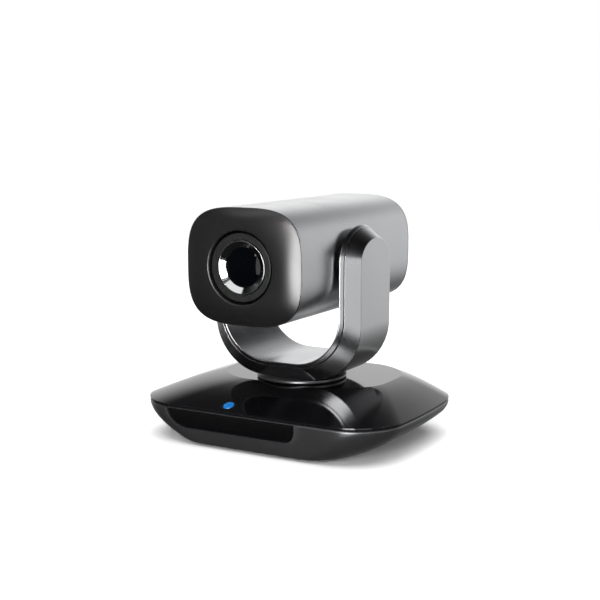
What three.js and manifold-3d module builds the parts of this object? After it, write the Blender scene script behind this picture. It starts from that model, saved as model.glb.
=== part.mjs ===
// Pan-tilt-zoom conference camera: a rounded head that tilts in a U-shaped yoke, which pans on a flat base.
// Millimetres, +Z up, +X to the right seen from the front, and the lens looks along -Y.
// The origin is under the middle of the head's length, at the underside of the feet. Pieces are laid out
// from the pan axis, which stands a little in front of it.
import * as THREE from 'three';
import { mergeVertices } from 'three/addons/utils/BufferGeometryUtils.js';
import Module from 'manifold-3d';

const wasm = await Module();
wasm.setup();

// ---------------------------------------------------------------- Driving dimensions

const GAP = 0.3; // room between pieces that touch or turn in each other
const WALL = 2.2; // moulded shell walls

// Base: a rounded rectangle whose sides bulge a little
const BASE_HALF_X = 73.6;
const BASE_HALF_Y = 54.6;
const BASE_CORNER = 24.5;
const BASE_BULGE_X = 3.9;
const BASE_BULGE_Y = 0.5;
const BASE_CENTRE_Y = -3.1;
const FOOT_HEIGHT = 1.5;
const FOOT_RADIUS = 7;
const FOOT_SPACING_X = 38;
const FOOT_SPACING_Y = 19;
const SCREW_SPACING_X = 38;
const SCREW_SPACING_Y = 34;
const SCREW_HEAD = 3;
const SCREW_SHANK = 1.2;
const SCREW_SUNK = 0.4; // underside to the screw heads
const SCREW_REACH = 9; // floor of the shell to the screws' tips
const POST_RADIUS = 3.4;
const INSERT_RADIUS = 6;
const INSERT_BORE = 2.9;
const INSERT_FLANGE = 2;
const INSERT_FLANGE_TOP = 1.8; // floor of the shell to the top of the flange
const SHELL_HEIGHT = 18.5; // underside to the rim
const SHELL_SIDE_TAPER = 26.5;
const SHELL_FRONT_TAPER = 1.5;
const SHELL_REAR_TAPER = 4.3;
const SHELL_TAPER_POWER = 2;
const SHELL_FLOOR_CORNER = 16;
const COVER_RISE = 11.4; // rim to the flat around the turntable
const COVER_EDGE = 1.2; // upright edge of the cover above the rim
const COVER_SIDE_RUN = 28;
const COVER_FRONT_RUN = 36;
const COVER_REAR_RUN = 2.5;
const COVER_ROUNDNESS = 0.48;

// Infrared window and status light
const WINDOW_LEFT_X = -51.6;
const WINDOW_RIGHT_X = 27.5;
const WINDOW_HEIGHT = 9.6;
const WINDOW_DROP = 0.8; // rim to the window's upper edge
const WINDOW_CORNER = 6;
const WINDOW_SWEEP = 14; // length of the long curve at the window's left end
const WINDOW_THICKNESS = 1.6;
const RECEIVER_PLACES_X = [-30, -12];
const RECEIVER_SET_BACK = 7.2; // front wall to the middle of the receiver domes
const LIGHT_X = -15;
const LIGHT_Y = -52.4;
const LIGHT_RADIUS = 2.8;
const LIGHT_PROUD = 0.25;

// Rear connector panel
const PANEL_WIDTH = 74;
const PANEL_HEIGHT = 14.4;
const PANEL_THICKNESS = 1.6;
const PANEL_RECESS = 6;
const JACK_PITCH = 17;
const JACK_DEPTH = 12;
const JACK_HALF_WIDTH = 6;
const JACK_HALF_HEIGHT = 5.6;
const JACK_PROUD = 0.6;
const JACK_MOUTH_WALL = 3; // least depth of a socket's hollow short of its back
const BOARD_THICKNESS = 1.6;
const MAIN_BOARD_HALF_X = 34;
const MAIN_BOARD_DEPTH = 30;

// Pan drive
const GEAR_MODULE = 0.8;
const PAN_WHEEL_TEETH = 52;
const PINION_TEETH = 12;
const GEAR_WIDTH = 3;
const TOOTH_ABOVE = 0.9; // height of a tooth above and below the pitch circle, in modules
const TOOTH_BELOW = 1.25;
const PINION_OVERHANG = 0.5;
const SPINDLE_RADIUS = 9;
const SPINDLE_BORE = 4.5;
const TURNTABLE_RADIUS = 25;
const TURNTABLE_THICKNESS = 1.6;
const TURNTABLE_CLEARANCE = 0.5;
const BEARING_WALL = 3.4;
const BEARING_HEIGHT = 5;
const BOSS_WALL = 3;
const MOTOR_RADIUS = 10;
const MOTOR_DROP = 2; // underside of the pan gear to the motor's top
const SHAFT_SEAT = 5; // depth of the shaft's hole in the motor
const YOKE_SCREW_X = 12;
const PAN_HOLE_RADIUS = 3.4; // six lightening holes in each wheel
const PAN_HOLE_CIRCLE = 14.6;
const TILT_HOLE_RADIUS = 3.8;
const TILT_HOLE_CIRCLE = 12.6;
const PAN_GEAR_Z = 13.6;
const SHAFT_RADIUS = 1.5;

// Yoke: a strap bent to a U, broad on the inside and bevelled towards the outside
const YOKE_SIDE_ROOM = 1.8; // side of the head to the yoke's inner face
const YOKE_THICKNESS = 9.5;
const YOKE_INNER_DEPTH = 50;
const YOKE_OUTER_DEPTH = 35;
const YOKE_INNER_CORNER = 27.4;
const YOKE_OUTER_CORNER = 31;
const YOKE_INNER_TOP_RISE = 19;
const YOKE_OUTER_TOP_RISE = 12;
const YOKE_COVER_THICKNESS = 2.1;

// Head
const HEAD_HALF_X = 34;
const HEAD_HALF_Z = 30.3;
const HEAD_SQUARENESS = 3.25; // superellipse exponent of the section
const HEAD_CLEARANCE = 25.4; // underside of the head to the yoke's floor
const BARREL_FRONT = -60.6;
const BARREL_REAR = 66.5;
const BEZEL_BULGE = 3.8;
const BEZEL_ROUNDING = 16;
const REAR_BULGE = 1.2;
const REAR_ROUNDING = 3;
const LIP_LENGTH = 4;
const LIP_WALL = 1.6;

// Tilt pivots
const PIVOT_RADIUS = 5;
const PIVOT_FLANGE_RADIUS = 8;
const PIVOT_REACH = 22; // inner end of the pins, measured from the middle of the head
const BUSH_WALL = 2.2;
const TILT_MOTOR_RADIUS = 8;
const TILT_MOTOR_LENGTH = 11;
const TILT_SEAT = 6;
const PIVOT_FLANGE_THICKNESS = 2;
const WHEEL_SET_BACK = 1; // end of the pins to the tilt wheel
const WHEEL_ROOM = 0.7; // tip of the tilt wheel to the inside of the barrel
const SHEET = 1.4; // sheet metal of the frame
const BRACKET_HALF = 9;
const FRAME_RISE = 3.4; // room between the barrel's inside and the frame's floor
const FRAME_SHORT = 10; // rear end of the barrel to that of the frame
const PROCESSING_BOARD_Y = 46;
const PROCESSING_BOARD_HALF_X = 19.5;
const PROCESSING_BOARD_TOP = 20;
const SLOT_WIDTH = 2;

// Lens block
const LENS_OPENING = 18.8;
const LENS_TUBE_RADIUS = 17.6;
const LENS_CONE_RADIUS = 14.1;
const LENS_RECESS = 1.2; // bezel face to the front edge of the lens tube
const TRIM_RADIUS = 13.8;
const GLASS_RADIUS = 10.3;
const LENS_CONE_DEPTH = 1.2;
const TRIM_SET_BACK = 0.3; // front edge of the lens tube to the trim ring
const TRIM_DEPTH = 2; // slope of the trim ring, down to the glass
const TRIM_LENGTH = 2.6;
const GLASS_BULGE = 2.2;
const GLASS_EDGE = 4;
const FRONT_PLATE_Y = -40;
const REAR_PLATE_Y = 8;
const PLATE_THICKNESS = 2;
const PLATE_HALF_X = 20;
const PLATE_HALF_Z = 18;
const ROD_RADIUS = 1.2;
const SCREW_RADIUS = 1.3;
const ROD_OFFSET = 14;
const CARRIAGE_THICKNESS = 4;
const CARRIAGE_MARGIN_X = 4;
const CARRIAGE_MARGIN_Z = 3;
const RAIL_DROP = 3; // plates' lower edge below their upper edge's mirror image
const RAIL_THICKNESS = 2;
const ROD_SEAT = 1; // depth of the rods' and screws' holes in the plates
const LIGHT_HOLE_RADIUS = 11;
const SENSOR_HALF_X = 4;
const SENSOR_HALF_Z = 3;
const SENSOR_MARGIN = 2;
const SENSOR_BOARD_HALF = 9;
const STEPPER_RADIUS = 4.5;
const STEPPER_LENGTH = 7;
const STEPPER_SEAT = 3;
const CARRIAGE_LENS_RADIUS = 7.7;
const ZOOM_CARRIAGE_Y = -34;
const FOCUS_CARRIAGE_Y = -4;

// ---------------------------------------------------------------- Places worked out from them

const YOKE_INNER_HALF = HEAD_HALF_X + YOKE_SIDE_ROOM;
const RIM_Z = FOOT_HEIGHT + SHELL_HEIGHT;
const DECK_Z = RIM_Z + COVER_RISE;
const TURNTABLE_TOP = DECK_Z + TURNTABLE_CLEARANCE + TURNTABLE_THICKNESS;
const YOKE_BOTTOM_Z = TURNTABLE_TOP + GAP;
const YOKE_FLOOR_Z = YOKE_BOTTOM_Z + YOKE_THICKNESS;
const TILT_Z = YOKE_FLOOR_Z + HEAD_CLEARANCE + HEAD_HALF_Z;
const PAN_CENTRES = (GEAR_MODULE * (PAN_WHEEL_TEETH + PINION_TEETH)) / 2;
const TILT_WHEEL_X = PIVOT_REACH + WHEEL_SET_BACK;
const BASE_REAR_Y = BASE_CENTRE_Y + BASE_HALF_Y + BASE_BULGE_Y;
const PANEL_Y = BASE_REAR_Y - PANEL_RECESS;
const PANEL_BOTTOM = FOOT_HEIGHT + WALL + GAP;
const JACK_Z = PANEL_BOTTOM + PANEL_HEIGHT / 2;
const BEZEL_FACE_Y = BARREL_FRONT - BEZEL_BULGE;
const HEAD_REAR_Y = BARREL_REAR + GAP + REAR_BULGE;
const LENS_FRONT_Y = BEZEL_FACE_Y + LENS_RECESS;

// The tilt wheel fills the room beside it in the barrel. Its teeth are a multiple of four, so that one of
// them meets the pinion straight behind the tilt axis.
const wheelShare = (TILT_WHEEL_X + GEAR_WIDTH) / (HEAD_HALF_X - WALL);
const wheelRoom = (HEAD_HALF_Z - WALL) * (1 - wheelShare ** HEAD_SQUARENESS) ** (1 / HEAD_SQUARENESS);
const tipRoom = wheelRoom - WHEEL_ROOM - TOOTH_ABOVE * GEAR_MODULE;
const TILT_WHEEL_TEETH = 4 * Math.floor((2 * tipRoom) / GEAR_MODULE / 4);
const TILT_CENTRES = (GEAR_MODULE * (TILT_WHEEL_TEETH + PINION_TEETH)) / 2;

// ---------------------------------------------------------------- Solids

// A closed triangle mesh as a manifold solid, turned outwards, with its shared corners merged.
function toSolid(geometry) {
  const bare = geometry.index ? geometry.toNonIndexed() : geometry.clone();
  bare.deleteAttribute('normal');
  bare.deleteAttribute('uv');
  const merged = mergeVertices(bare, 1e-4);
  const corners = merged.attributes.position.array;
  const vertex = (i) => new THREE.Vector3().fromArray(corners, 3 * i);
  const faces = [];
  let volume = 0;
  for (let i = 0; i < merged.index.count; i += 3) {
    const [a, b, c] = merged.index.array.slice(i, i + 3);
    if (a === b || b === c || c === a) continue;
    faces.push(a, b, c);
    volume += vertex(a).dot(vertex(b).cross(vertex(c)));
  }
  if (volume < 0) faces.reverse();
  const mesh = new wasm.Mesh({
    numProp: 3,
    vertProperties: new Float32Array(corners),
    triVerts: new Uint32Array(faces),
  });
  return new wasm.Manifold(mesh);
}

const join = (first, ...others) => others.reduce((sum, other) => sum.add(other), first);
const cut = (solid, ...tools) => tools.reduce((rest, tool) => rest.subtract(tool), solid);

function box(x0, x1, y0, y1, z0, z1) {
  const geometry = new THREE.BoxGeometry(x1 - x0, y1 - y0, z1 - z0);
  return toSolid(geometry.translate((x0 + x1) / 2, (y0 + y1) / 2, (z0 + z1) / 2));
}

// Turns a shape made round the Y axis so that it lies along the named axis.
function along(axis, geometry) {
  if (axis === 'x') geometry.rotateZ(-Math.PI / 2);
  if (axis === 'z') geometry.rotateX(Math.PI / 2);
  return geometry;
}

// A round bar along an axis through the point (u, v) of the other two axes.
function rod(axis, radius, from, to, u = 0, v = 0, sides = 24) {
  const geometry = new THREE.CylinderGeometry(radius, radius, to - from, sides);
  along(axis, geometry.translate(0, (from + to) / 2, 0));
  if (axis === 'x') geometry.translate(0, u, v);
  if (axis === 'y') geometry.translate(u, 0, v);
  if (axis === 'z') geometry.translate(u, v, 0);
  return toSolid(geometry);
}

// A turned piece: the profile lists [radius, distance along the axis], and closes on itself or on the axis.
function turned(axis, profile, sides = 32) {
  const points = profile.map(([radius, height]) => new THREE.Vector2(radius, height));
  if (profile[0][0] > 0) points.push(points[0].clone());
  return toSolid(along(axis, new THREE.LatheGeometry(points, sides)));
}

// A flat ring, or a tube, along an axis.
function ring(axis, inner, outer, from, to, sides = 32) {
  return turned(axis, [[inner, from], [outer, from], [outer, to], [inner, to]], sides);
}

// A skin over a stack of rings with equal numbers of points. A blunt end is closed with a fan.
function loft(rings, bluntEnds = true) {
  const count = rings[0].length;
  const triangles = [];
  for (let i = 0; i + 1 < rings.length; i += 1) {
    for (let j = 0; j < count; j += 1) {
      const k = (j + 1) % count;
      triangles.push(rings[i][j], rings[i][k], rings[i + 1][k]);
      triangles.push(rings[i][j], rings[i + 1][k], rings[i + 1][j]);
    }
  }
  const fan = (edge, flip) => {
    const middle = edge.reduce((sum, p) => sum.add(p), new THREE.Vector3()).divideScalar(count);
    for (let j = 0; j < count; j += 1) {
      const k = (j + 1) % count;
      triangles.push(middle, flip ? edge[k] : edge[j], flip ? edge[j] : edge[k]);
    }
  };
  if (bluntEnds) {
    fan(rings[0], true);
    fan(rings[rings.length - 1], false);
  }
  return toSolid(new THREE.BufferGeometry().setFromPoints(triangles));
}

// ---------------------------------------------------------------- Pieces and materials

const FINISHES = {
  coverGloss: { color: 0x101113, roughness: 0.12, metalness: 0 },
  shellSatin: { color: 0x4a4b4d, roughness: 0.42, metalness: 0.25 },
  windowGloss: { color: 0x070708, roughness: 0.08, metalness: 0 },
  bezelSatin: { color: 0x303133, roughness: 0.35, metalness: 0.1 },
  headSatin: { color: 0x6a6b6e, roughness: 0.4, metalness: 0.3 },
  lightBlue: { color: 0x1f7fd6, roughness: 0.25, metalness: 0 },
  rubber: { color: 0x1a1a1b, roughness: 0.85, metalness: 0 },
  steel: { color: 0xb4b7ba, roughness: 0.3, metalness: 1 },
  brass: { color: 0xb8923e, roughness: 0.3, metalness: 1 },
  nylon: { color: 0xd8d5c8, roughness: 0.55, metalness: 0 },
  blackPlastic: { color: 0x1b1c1e, roughness: 0.5, metalness: 0 },
  lensBlack: { color: 0x141517, roughness: 0.3, metalness: 0.2 },
  trimSilver: { color: 0xc9cccf, roughness: 0.22, metalness: 1 },
  glass: { color: 0x11161c, roughness: 0.04, metalness: 0 },
  board: { color: 0x1f5a36, roughness: 0.55, metalness: 0 },
  chip: { color: 0x22252a, roughness: 0.4, metalness: 0 },
};

const camera = new THREE.Group();
camera.position.y = -(BEZEL_FACE_Y + HEAD_REAR_Y) / 2;
const yoke = new THREE.Group();
const head = new THREE.Group();
head.position.set(0, 0, TILT_Z);
camera.add(yoke);
yoke.add(head);

function piece(group, name, solid, finish, x = 0, y = 0, z = 0) {
  const mesh = solid.getMesh();
  const geometry = new THREE.BufferGeometry();
  geometry.setAttribute('position', new THREE.BufferAttribute(mesh.vertProperties, 3));
  geometry.setIndex(new THREE.BufferAttribute(mesh.triVerts, 1));
  geometry.computeVertexNormals();
  const part = new THREE.Mesh(geometry, new THREE.MeshStandardMaterial(FINISHES[finish]));
  part.name = name;
  part.position.set(x, y, z);
  group.add(part);
}

// ---------------------------------------------------------------- Gears

// A spur gear on the Z axis. Its first tooth, or with half a pitch of turn its first gap, points along +X.
function gear(teeth, bore, from, to, startAtGap) {
  const pitchRadius = (GEAR_MODULE * teeth) / 2;
  const step = (2 * Math.PI) / teeth;
  const root = pitchRadius - TOOTH_BELOW * GEAR_MODULE;
  const tip = pitchRadius + TOOTH_ABOVE * GEAR_MODULE;
  const flank = [[root, -0.3], [tip, -0.12], [tip, 0.12], [root, 0.3]];
  const outline = new THREE.Shape();
  for (let tooth = 0; tooth < teeth; tooth += 1) {
    for (const [radius, share] of flank) {
      const angle = (tooth + share + (startAtGap ? 0.5 : 0)) * step;
      const point = [radius * Math.cos(angle), radius * Math.sin(angle)];
      if (outline.curves.length === 0 && outline.currentPoint.lengthSq() === 0) outline.moveTo(...point);
      else outline.lineTo(...point);
    }
  }
  outline.closePath();
  const options = { depth: to - from, bevelEnabled: false };
  const blank = toSolid(new THREE.ExtrudeGeometry(outline, options).translate(0, 0, from));
  return bore > 0 ? cut(blank, rod('z', bore, from - 1, to + 1)) : blank;
}

// Six round holes through a wheel on the Z axis.
function wheelHoles(radius, circle, from, to) {
  return [0, 1, 2, 3, 4, 5].map((i) => {
    const angle = ((i + 0.5) * Math.PI) / 3;
    return rod('z', radius, from, to, circle * Math.cos(angle), circle * Math.sin(angle), 10);
  });
}

// ---------------------------------------------------------------- Base shells

// The base outline at height z, drawn in by the given amounts.
function baseRing(z, side, front, rear, corner, arcSteps = 6, sideSteps = 3) {
  const halfX = BASE_HALF_X - side;
  const halfY = BASE_HALF_Y - (front + rear) / 2;
  const middleY = BASE_CENTRE_Y + (front - rear) / 2;
  const plain = [];
  for (let quarter = 0; quarter < 4; quarter += 1) {
    const towards = quarter * 90 + 45;
    const centreX = Math.sign(Math.cos(THREE.MathUtils.degToRad(towards))) * (halfX - corner);
    const centreY = Math.sign(Math.sin(THREE.MathUtils.degToRad(towards))) * (halfY - corner);
    for (let i = 0; i <= arcSteps; i += 1) {
      const angle = THREE.MathUtils.degToRad(quarter * 90 + (90 * i) / arcSteps);
      plain.push(new THREE.Vector2(centreX + corner * Math.cos(angle), centreY + corner * Math.sin(angle)));
    }
  }
  const outline = plain.flatMap((point, i) => {
    if ((i + 1) % (arcSteps + 1) !== 0) return [point];
    const next = plain[(i + 1) % plain.length];
    return Array.from({ length: sideSteps }, (_, j) => point.clone().lerp(next, j / sideSteps));
  });
  const bulge = (value, half, amount, other, otherHalf) =>
    value + Math.sign(value) * (Math.abs(value) / half) ** 6 * amount * (1 - (other / otherHalf) ** 2);
  return outline.map(({ x, y }) => new THREE.Vector3(
    bulge(x, halfX, BASE_BULGE_X, y, halfY),
    middleY + bulge(y, halfY, BASE_BULGE_Y, x, halfX),
    z,
  ));
}

// The lower shell's outside, shrunk by inset, from its floor up to the given height.
function shellBody(inset, floorZ, topZ) {
  const steps = 5;
  return loft(Array.from({ length: steps + 1 }, (_, i) => {
    const z = floorZ + ((topZ - floorZ) * i) / steps;
    const depth = Math.max(0, (RIM_Z - z) / SHELL_HEIGHT) ** SHELL_TAPER_POWER;
    return baseRing(
      z,
      inset + SHELL_SIDE_TAPER * depth,
      inset + SHELL_FRONT_TAPER * depth,
      inset + SHELL_REAR_TAPER * depth,
      BASE_CORNER - inset + (SHELL_FLOOR_CORNER - BASE_CORNER) * depth,
    );
  }));
}

// The top cover's outside, shrunk by inset and lowered by drop. It rises from an upright edge to the deck.
function coverBody(inset, drop, bottomZ) {
  const steps = 6;
  const rings = [baseRing(bottomZ, inset, inset, inset, BASE_CORNER - inset)];
  for (let i = 0; i <= steps; i += 1) {
    const t = i / steps;
    const rise = (1 - COVER_ROUNDNESS) * t + COVER_ROUNDNESS * Math.sin((t * Math.PI) / 2);
    rings.push(baseRing(
      RIM_Z + GAP + COVER_EDGE - drop + (COVER_RISE - GAP - COVER_EDGE) * rise,
      inset + COVER_SIDE_RUN * t,
      inset + COVER_FRONT_RUN * t,
      inset + COVER_REAR_RUN * t,
      BASE_CORNER - inset,
    ));
  }
  return loft(rings);
}

// The infrared window's outline as a block through the front wall, grown by margin.
function windowBlock(margin) {
  const left = WINDOW_LEFT_X - margin;
  const right = WINDOW_RIGHT_X + margin;
  const top = RIM_Z - WINDOW_DROP + margin;
  const bottom = top - WINDOW_HEIGHT - 2 * margin;
  const radius = WINDOW_CORNER + margin;
  const sweep = WINDOW_SWEEP + margin;
  const outline = new THREE.Shape();
  outline.moveTo(left, top);
  outline.absellipse(left + sweep, top, sweep, top - bottom, Math.PI, 1.5 * Math.PI);
  outline.absarc(right - radius, bottom + radius, radius, 1.5 * Math.PI, 2 * Math.PI);
  outline.lineTo(right, top);
  outline.closePath();
  const reach = BASE_HALF_Y + BASE_BULGE_Y + 1;
  const block = new THREE.ExtrudeGeometry(outline, { depth: reach, bevelEnabled: false, curveSegments: 6 });
  return toSolid(block.rotateX(Math.PI / 2).translate(0, BASE_CENTRE_Y, 0));
}

const jackPlaces = [-1.5, -0.5, 0.5, 1.5].map((step) => step * JACK_PITCH);
const fourPlaces = (x, y) => [[-1, -1], [1, -1], [-1, 1], [1, 1]].map(
  ([sx, sy]) => [sx * x, BASE_CENTRE_Y + sy * y],
);
const screwPlaces = fourPlaces(SCREW_SPACING_X, SCREW_SPACING_Y);
const footPlaces = fourPlaces(FOOT_SPACING_X, FOOT_SPACING_Y);
const cornerNames = ['front_left', 'front_right', 'rear_left', 'rear_right'];

{
  const outside = shellBody(0, FOOT_HEIGHT, RIM_Z);
  const hollow = shellBody(WALL, FOOT_HEIGHT + WALL, RIM_Z + 1);
  const halfPanel = PANEL_WIDTH / 2;
  const panelTop = PANEL_BOTTOM + PANEL_HEIGHT;
  const recessFront = PANEL_Y - PANEL_THICKNESS;
  const recessWalls = outside.intersect(
    box(-halfPanel - WALL, halfPanel + WALL, recessFront, BASE_REAR_Y, FOOT_HEIGHT, panelTop + GAP),
  );
  const holes = [
    windowBlock(GAP),
    box(-halfPanel, halfPanel, PANEL_Y - 2 * WALL, BASE_REAR_Y + 1, PANEL_BOTTOM - GAP, RIM_Z + 1),
    rod('z', INSERT_RADIUS + GAP, 0, FOOT_HEIGHT + 2 * WALL),
    ...screwPlaces.map(([x, y]) => rod('z', SCREW_SHANK + GAP, 0, FOOT_HEIGHT + 2 * WALL, x, y, 12)),
  ];
  piece(camera, 'base_lower_shell', cut(join(cut(outside, hollow), recessWalls), ...holes), 'shellSatin');

  const behindWindow = shellBody(WINDOW_THICKNESS, FOOT_HEIGHT + 1, RIM_Z + 1);
  piece(camera, 'ir_window', windowBlock(0).intersect(cut(outside, behindWindow)), 'windowGloss');
}
for (const [i, x] of RECEIVER_PLACES_X.entries()) {
  const y = BASE_CENTRE_Y - BASE_HALF_Y + RECEIVER_SET_BACK;
  const z = RIM_Z - WINDOW_DROP - WINDOW_HEIGHT / 2;
  const dome = turned('y', [[0, -3], [1.6, -2.6], [2.6, -1], [2.6, 2], [0, 2]], 16);
  piece(camera, `ir_receiver_${i + 1}`, dome, 'windowGloss', x, y, z);
}

{
  const bossBottom = DECK_Z - WALL - BEARING_HEIGHT - 1;
  const bossInner = SPINDLE_RADIUS + GAP + BEARING_WALL + GAP;
  const shell = cut(coverBody(0, 0, RIM_Z + GAP), coverBody(WALL, WALL, RIM_Z - 1));
  const postTop = DECK_Z - WALL / 2;
  const postBottom = FOOT_HEIGHT + WALL + GAP;
  const posts = screwPlaces.map(([x, y]) => rod('z', POST_RADIUS, postBottom, DECK_Z, x, y, 16));
  const pilots = screwPlaces.map(([x, y]) => rod('z', SCREW_SHANK + GAP, 0, RIM_Z, x, y, 12));
  const boss = ring('z', bossInner, bossInner + BOSS_WALL, bossBottom, postTop);
  const body = join(shell, boss, ...posts.map((post) => post.intersect(coverBody(WALL / 2, WALL / 2, 0))));
  const holes = [
    rod('z', SPINDLE_RADIUS + GAP, bossBottom - 1, DECK_Z + 1, 0, 0, 40),
    rod('z', LIGHT_RADIUS + GAP, RIM_Z - 1, DECK_Z, LIGHT_X, LIGHT_Y),
    ...pilots,
  ];
  piece(camera, 'base_top_cover', cut(body, ...holes), 'coverGloss');

  const light = rod('z', LIGHT_RADIUS, RIM_Z - 2, DECK_Z, LIGHT_X, LIGHT_Y).intersect(
    coverBody(0, -LIGHT_PROUD, RIM_Z - 3),
  );
  piece(camera, 'status_light', light, 'lightBlue');

  const bearing = ring('z', SPINDLE_RADIUS + GAP, bossInner - GAP, bossBottom, bossBottom + BEARING_HEIGHT);
  piece(camera, 'pan_bearing', bearing, 'steel');
}

for (const [i, [x, y]] of footPlaces.entries()) {
  const top = FOOT_HEIGHT - GAP;
  const profile = [[0, 0], [FOOT_RADIUS - 0.5, 0], [FOOT_RADIUS, 0.5], [FOOT_RADIUS, top], [0, top]];
  piece(camera, `foot_${cornerNames[i]}`, turned('z', profile, 24), 'rubber', x, y, 0);
}

const shellFloor = FOOT_HEIGHT + WALL;
for (const [i, [x, y]] of screwPlaces.entries()) {
  const headTop = FOOT_HEIGHT - GAP;
  const tip = shellFloor + SCREW_REACH;
  const profile = [[0, SCREW_SUNK], [SCREW_HEAD, SCREW_SUNK], [SCREW_HEAD, headTop],
    [SCREW_SHANK, headTop], [SCREW_SHANK, tip], [0, tip]];
  piece(camera, `bottom_screw_${cornerNames[i]}`, turned('z', profile, 14), 'steel', x, y, 0);
}
{
  const bottom = FOOT_HEIGHT + GAP;
  const flangeBottom = shellFloor + GAP;
  const flangeTop = shellFloor + INSERT_FLANGE_TOP;
  const flangeRadius = INSERT_RADIUS + INSERT_FLANGE;
  const profile = [[INSERT_BORE, bottom], [INSERT_RADIUS, bottom], [INSERT_RADIUS, flangeBottom],
    [flangeRadius, flangeBottom], [flangeRadius, flangeTop], [INSERT_BORE, flangeTop]];
  piece(camera, 'tripod_insert', turned('z', profile, 24), 'brass');
}

// ---------------------------------------------------------------- Rear panel and boards

// A socket's body round its hollow and contents. It stands through the panel and reaches JACK_DEPTH behind.
function jackBody(socket) {
  const body = box(-JACK_HALF_WIDTH, JACK_HALF_WIDTH, PANEL_Y - JACK_DEPTH, PANEL_Y + JACK_PROUD,
    -JACK_HALF_HEIGHT, JACK_HALF_HEIGHT);
  return join(cut(body, socket.hollow), ...socket.contents);
}

const mouth = PANEL_Y + 1;
const hollowEnd = PANEL_Y - JACK_DEPTH + JACK_MOUTH_WALL;
const contactEnd = PANEL_Y - 1;
const roundSocket = rod('y', 4.6, hollowEnd + 3, mouth);
const sockets = {
  power_jack: {
    hollow: rod('y', 3.1, hollowEnd, mouth),
    contents: [rod('y', 1, hollowEnd - 1, contactEnd, 0, 0, 12)],
  },
  usb_port: {
    hollow: box(-4.2, 4.2, hollowEnd + 1, mouth, -3.9, 3.9),
    contents: [box(-2.8, 2.8, hollowEnd, contactEnd, -1.6, 1.6)],
  },
  serial_in_jack: { hollow: roundSocket, contents: [] },
  serial_out_jack: { hollow: roundSocket, contents: [] },
};

{
  const half = PANEL_WIDTH / 2 - GAP;
  const front = PANEL_Y - PANEL_THICKNESS;
  const plate = box(-half, half, front, PANEL_Y, PANEL_BOTTOM, PANEL_BOTTOM + PANEL_HEIGHT);
  const reachX = JACK_HALF_WIDTH + GAP;
  const reachZ = JACK_HALF_HEIGHT + GAP;
  const holes = jackPlaces.map((x) =>
    box(x - reachX, x + reachX, front - 1, PANEL_Y + 1, JACK_Z - reachZ, JACK_Z + reachZ));
  piece(camera, 'rear_panel', cut(plate, ...holes), 'blackPlastic');
  for (const [i, name] of Object.keys(sockets).entries()) {
    piece(camera, name, jackBody(sockets[name]), 'blackPlastic', jackPlaces[i], 0, JACK_Z);
  }

  const boardTop = JACK_Z - reachZ;
  const boardRear = front - GAP;
  const board = box(-MAIN_BOARD_HALF_X, MAIN_BOARD_HALF_X, boardRear - MAIN_BOARD_DEPTH, boardRear,
    boardTop - BOARD_THICKNESS, boardTop);
  const chips = [[-18, 9, 1.4], [8, 7, 1.8], [24, 5, 2.4]].map(([x, half, height]) =>
    box(x - half, x + half, boardRear - 26, boardRear - 14, boardTop - 0.1, boardTop + height));
  piece(camera, 'main_board', join(board, ...chips), 'board');
}

// ---------------------------------------------------------------- Pan drive and turntable

{
  const wheelTop = PAN_GEAR_Z + GEAR_WIDTH;
  const motorFloor = shellFloor + GAP;
  const motorTop = PAN_GEAR_Z - MOTOR_DROP;
  const can = turned('z', [[0, motorFloor], [MOTOR_RADIUS, motorFloor], [MOTOR_RADIUS, motorTop - 1],
    [MOTOR_RADIUS - 1, motorTop], [0, motorTop]], 32);
  const seat = motorTop - SHAFT_SEAT;
  const motor = cut(can, rod('z', SHAFT_RADIUS + GAP, seat, motorTop + 1));
  piece(camera, 'pan_motor', motor, 'steel', PAN_CENTRES, 0, 0);

  const shaft = rod('z', SHAFT_RADIUS, seat + GAP, wheelTop + 2 * PINION_OVERHANG);
  const teeth = gear(PINION_TEETH, 0, PAN_GEAR_Z - PINION_OVERHANG, wheelTop + PINION_OVERHANG, true);
  piece(camera, 'pan_pinion', join(teeth, shaft), 'brass', PAN_CENTRES, 0, 0);

  const spindleBottom = PAN_GEAR_Z - 2;
  const discBottom = DECK_Z + TURNTABLE_CLEARANCE;
  const profile = [[SPINDLE_BORE, spindleBottom], [SPINDLE_RADIUS, spindleBottom],
    [SPINDLE_RADIUS, discBottom], [TURNTABLE_RADIUS - 0.6, discBottom], [TURNTABLE_RADIUS, discBottom + 0.6],
    [TURNTABLE_RADIUS, TURNTABLE_TOP], [SPINDLE_BORE, TURNTABLE_TOP]];
  const pilots = [-1, 1].map((side) =>
    rod('z', SCREW_SHANK + GAP, discBottom - 1, TURNTABLE_TOP + 1, side * YOKE_SCREW_X, 0, 12));
  piece(yoke, 'turntable', cut(turned('z', profile, 40), ...pilots), 'shellSatin');

  const wheel = gear(PAN_WHEEL_TEETH, SPINDLE_RADIUS + GAP, PAN_GEAR_Z, wheelTop, false);
  const lightening = wheelHoles(PAN_HOLE_RADIUS, PAN_HOLE_CIRCLE, PAN_GEAR_Z - 1, wheelTop + 1);
  piece(yoke, 'pan_gear', cut(wheel, ...lightening), 'nylon');
}

// ---------------------------------------------------------------- Yoke

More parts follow.
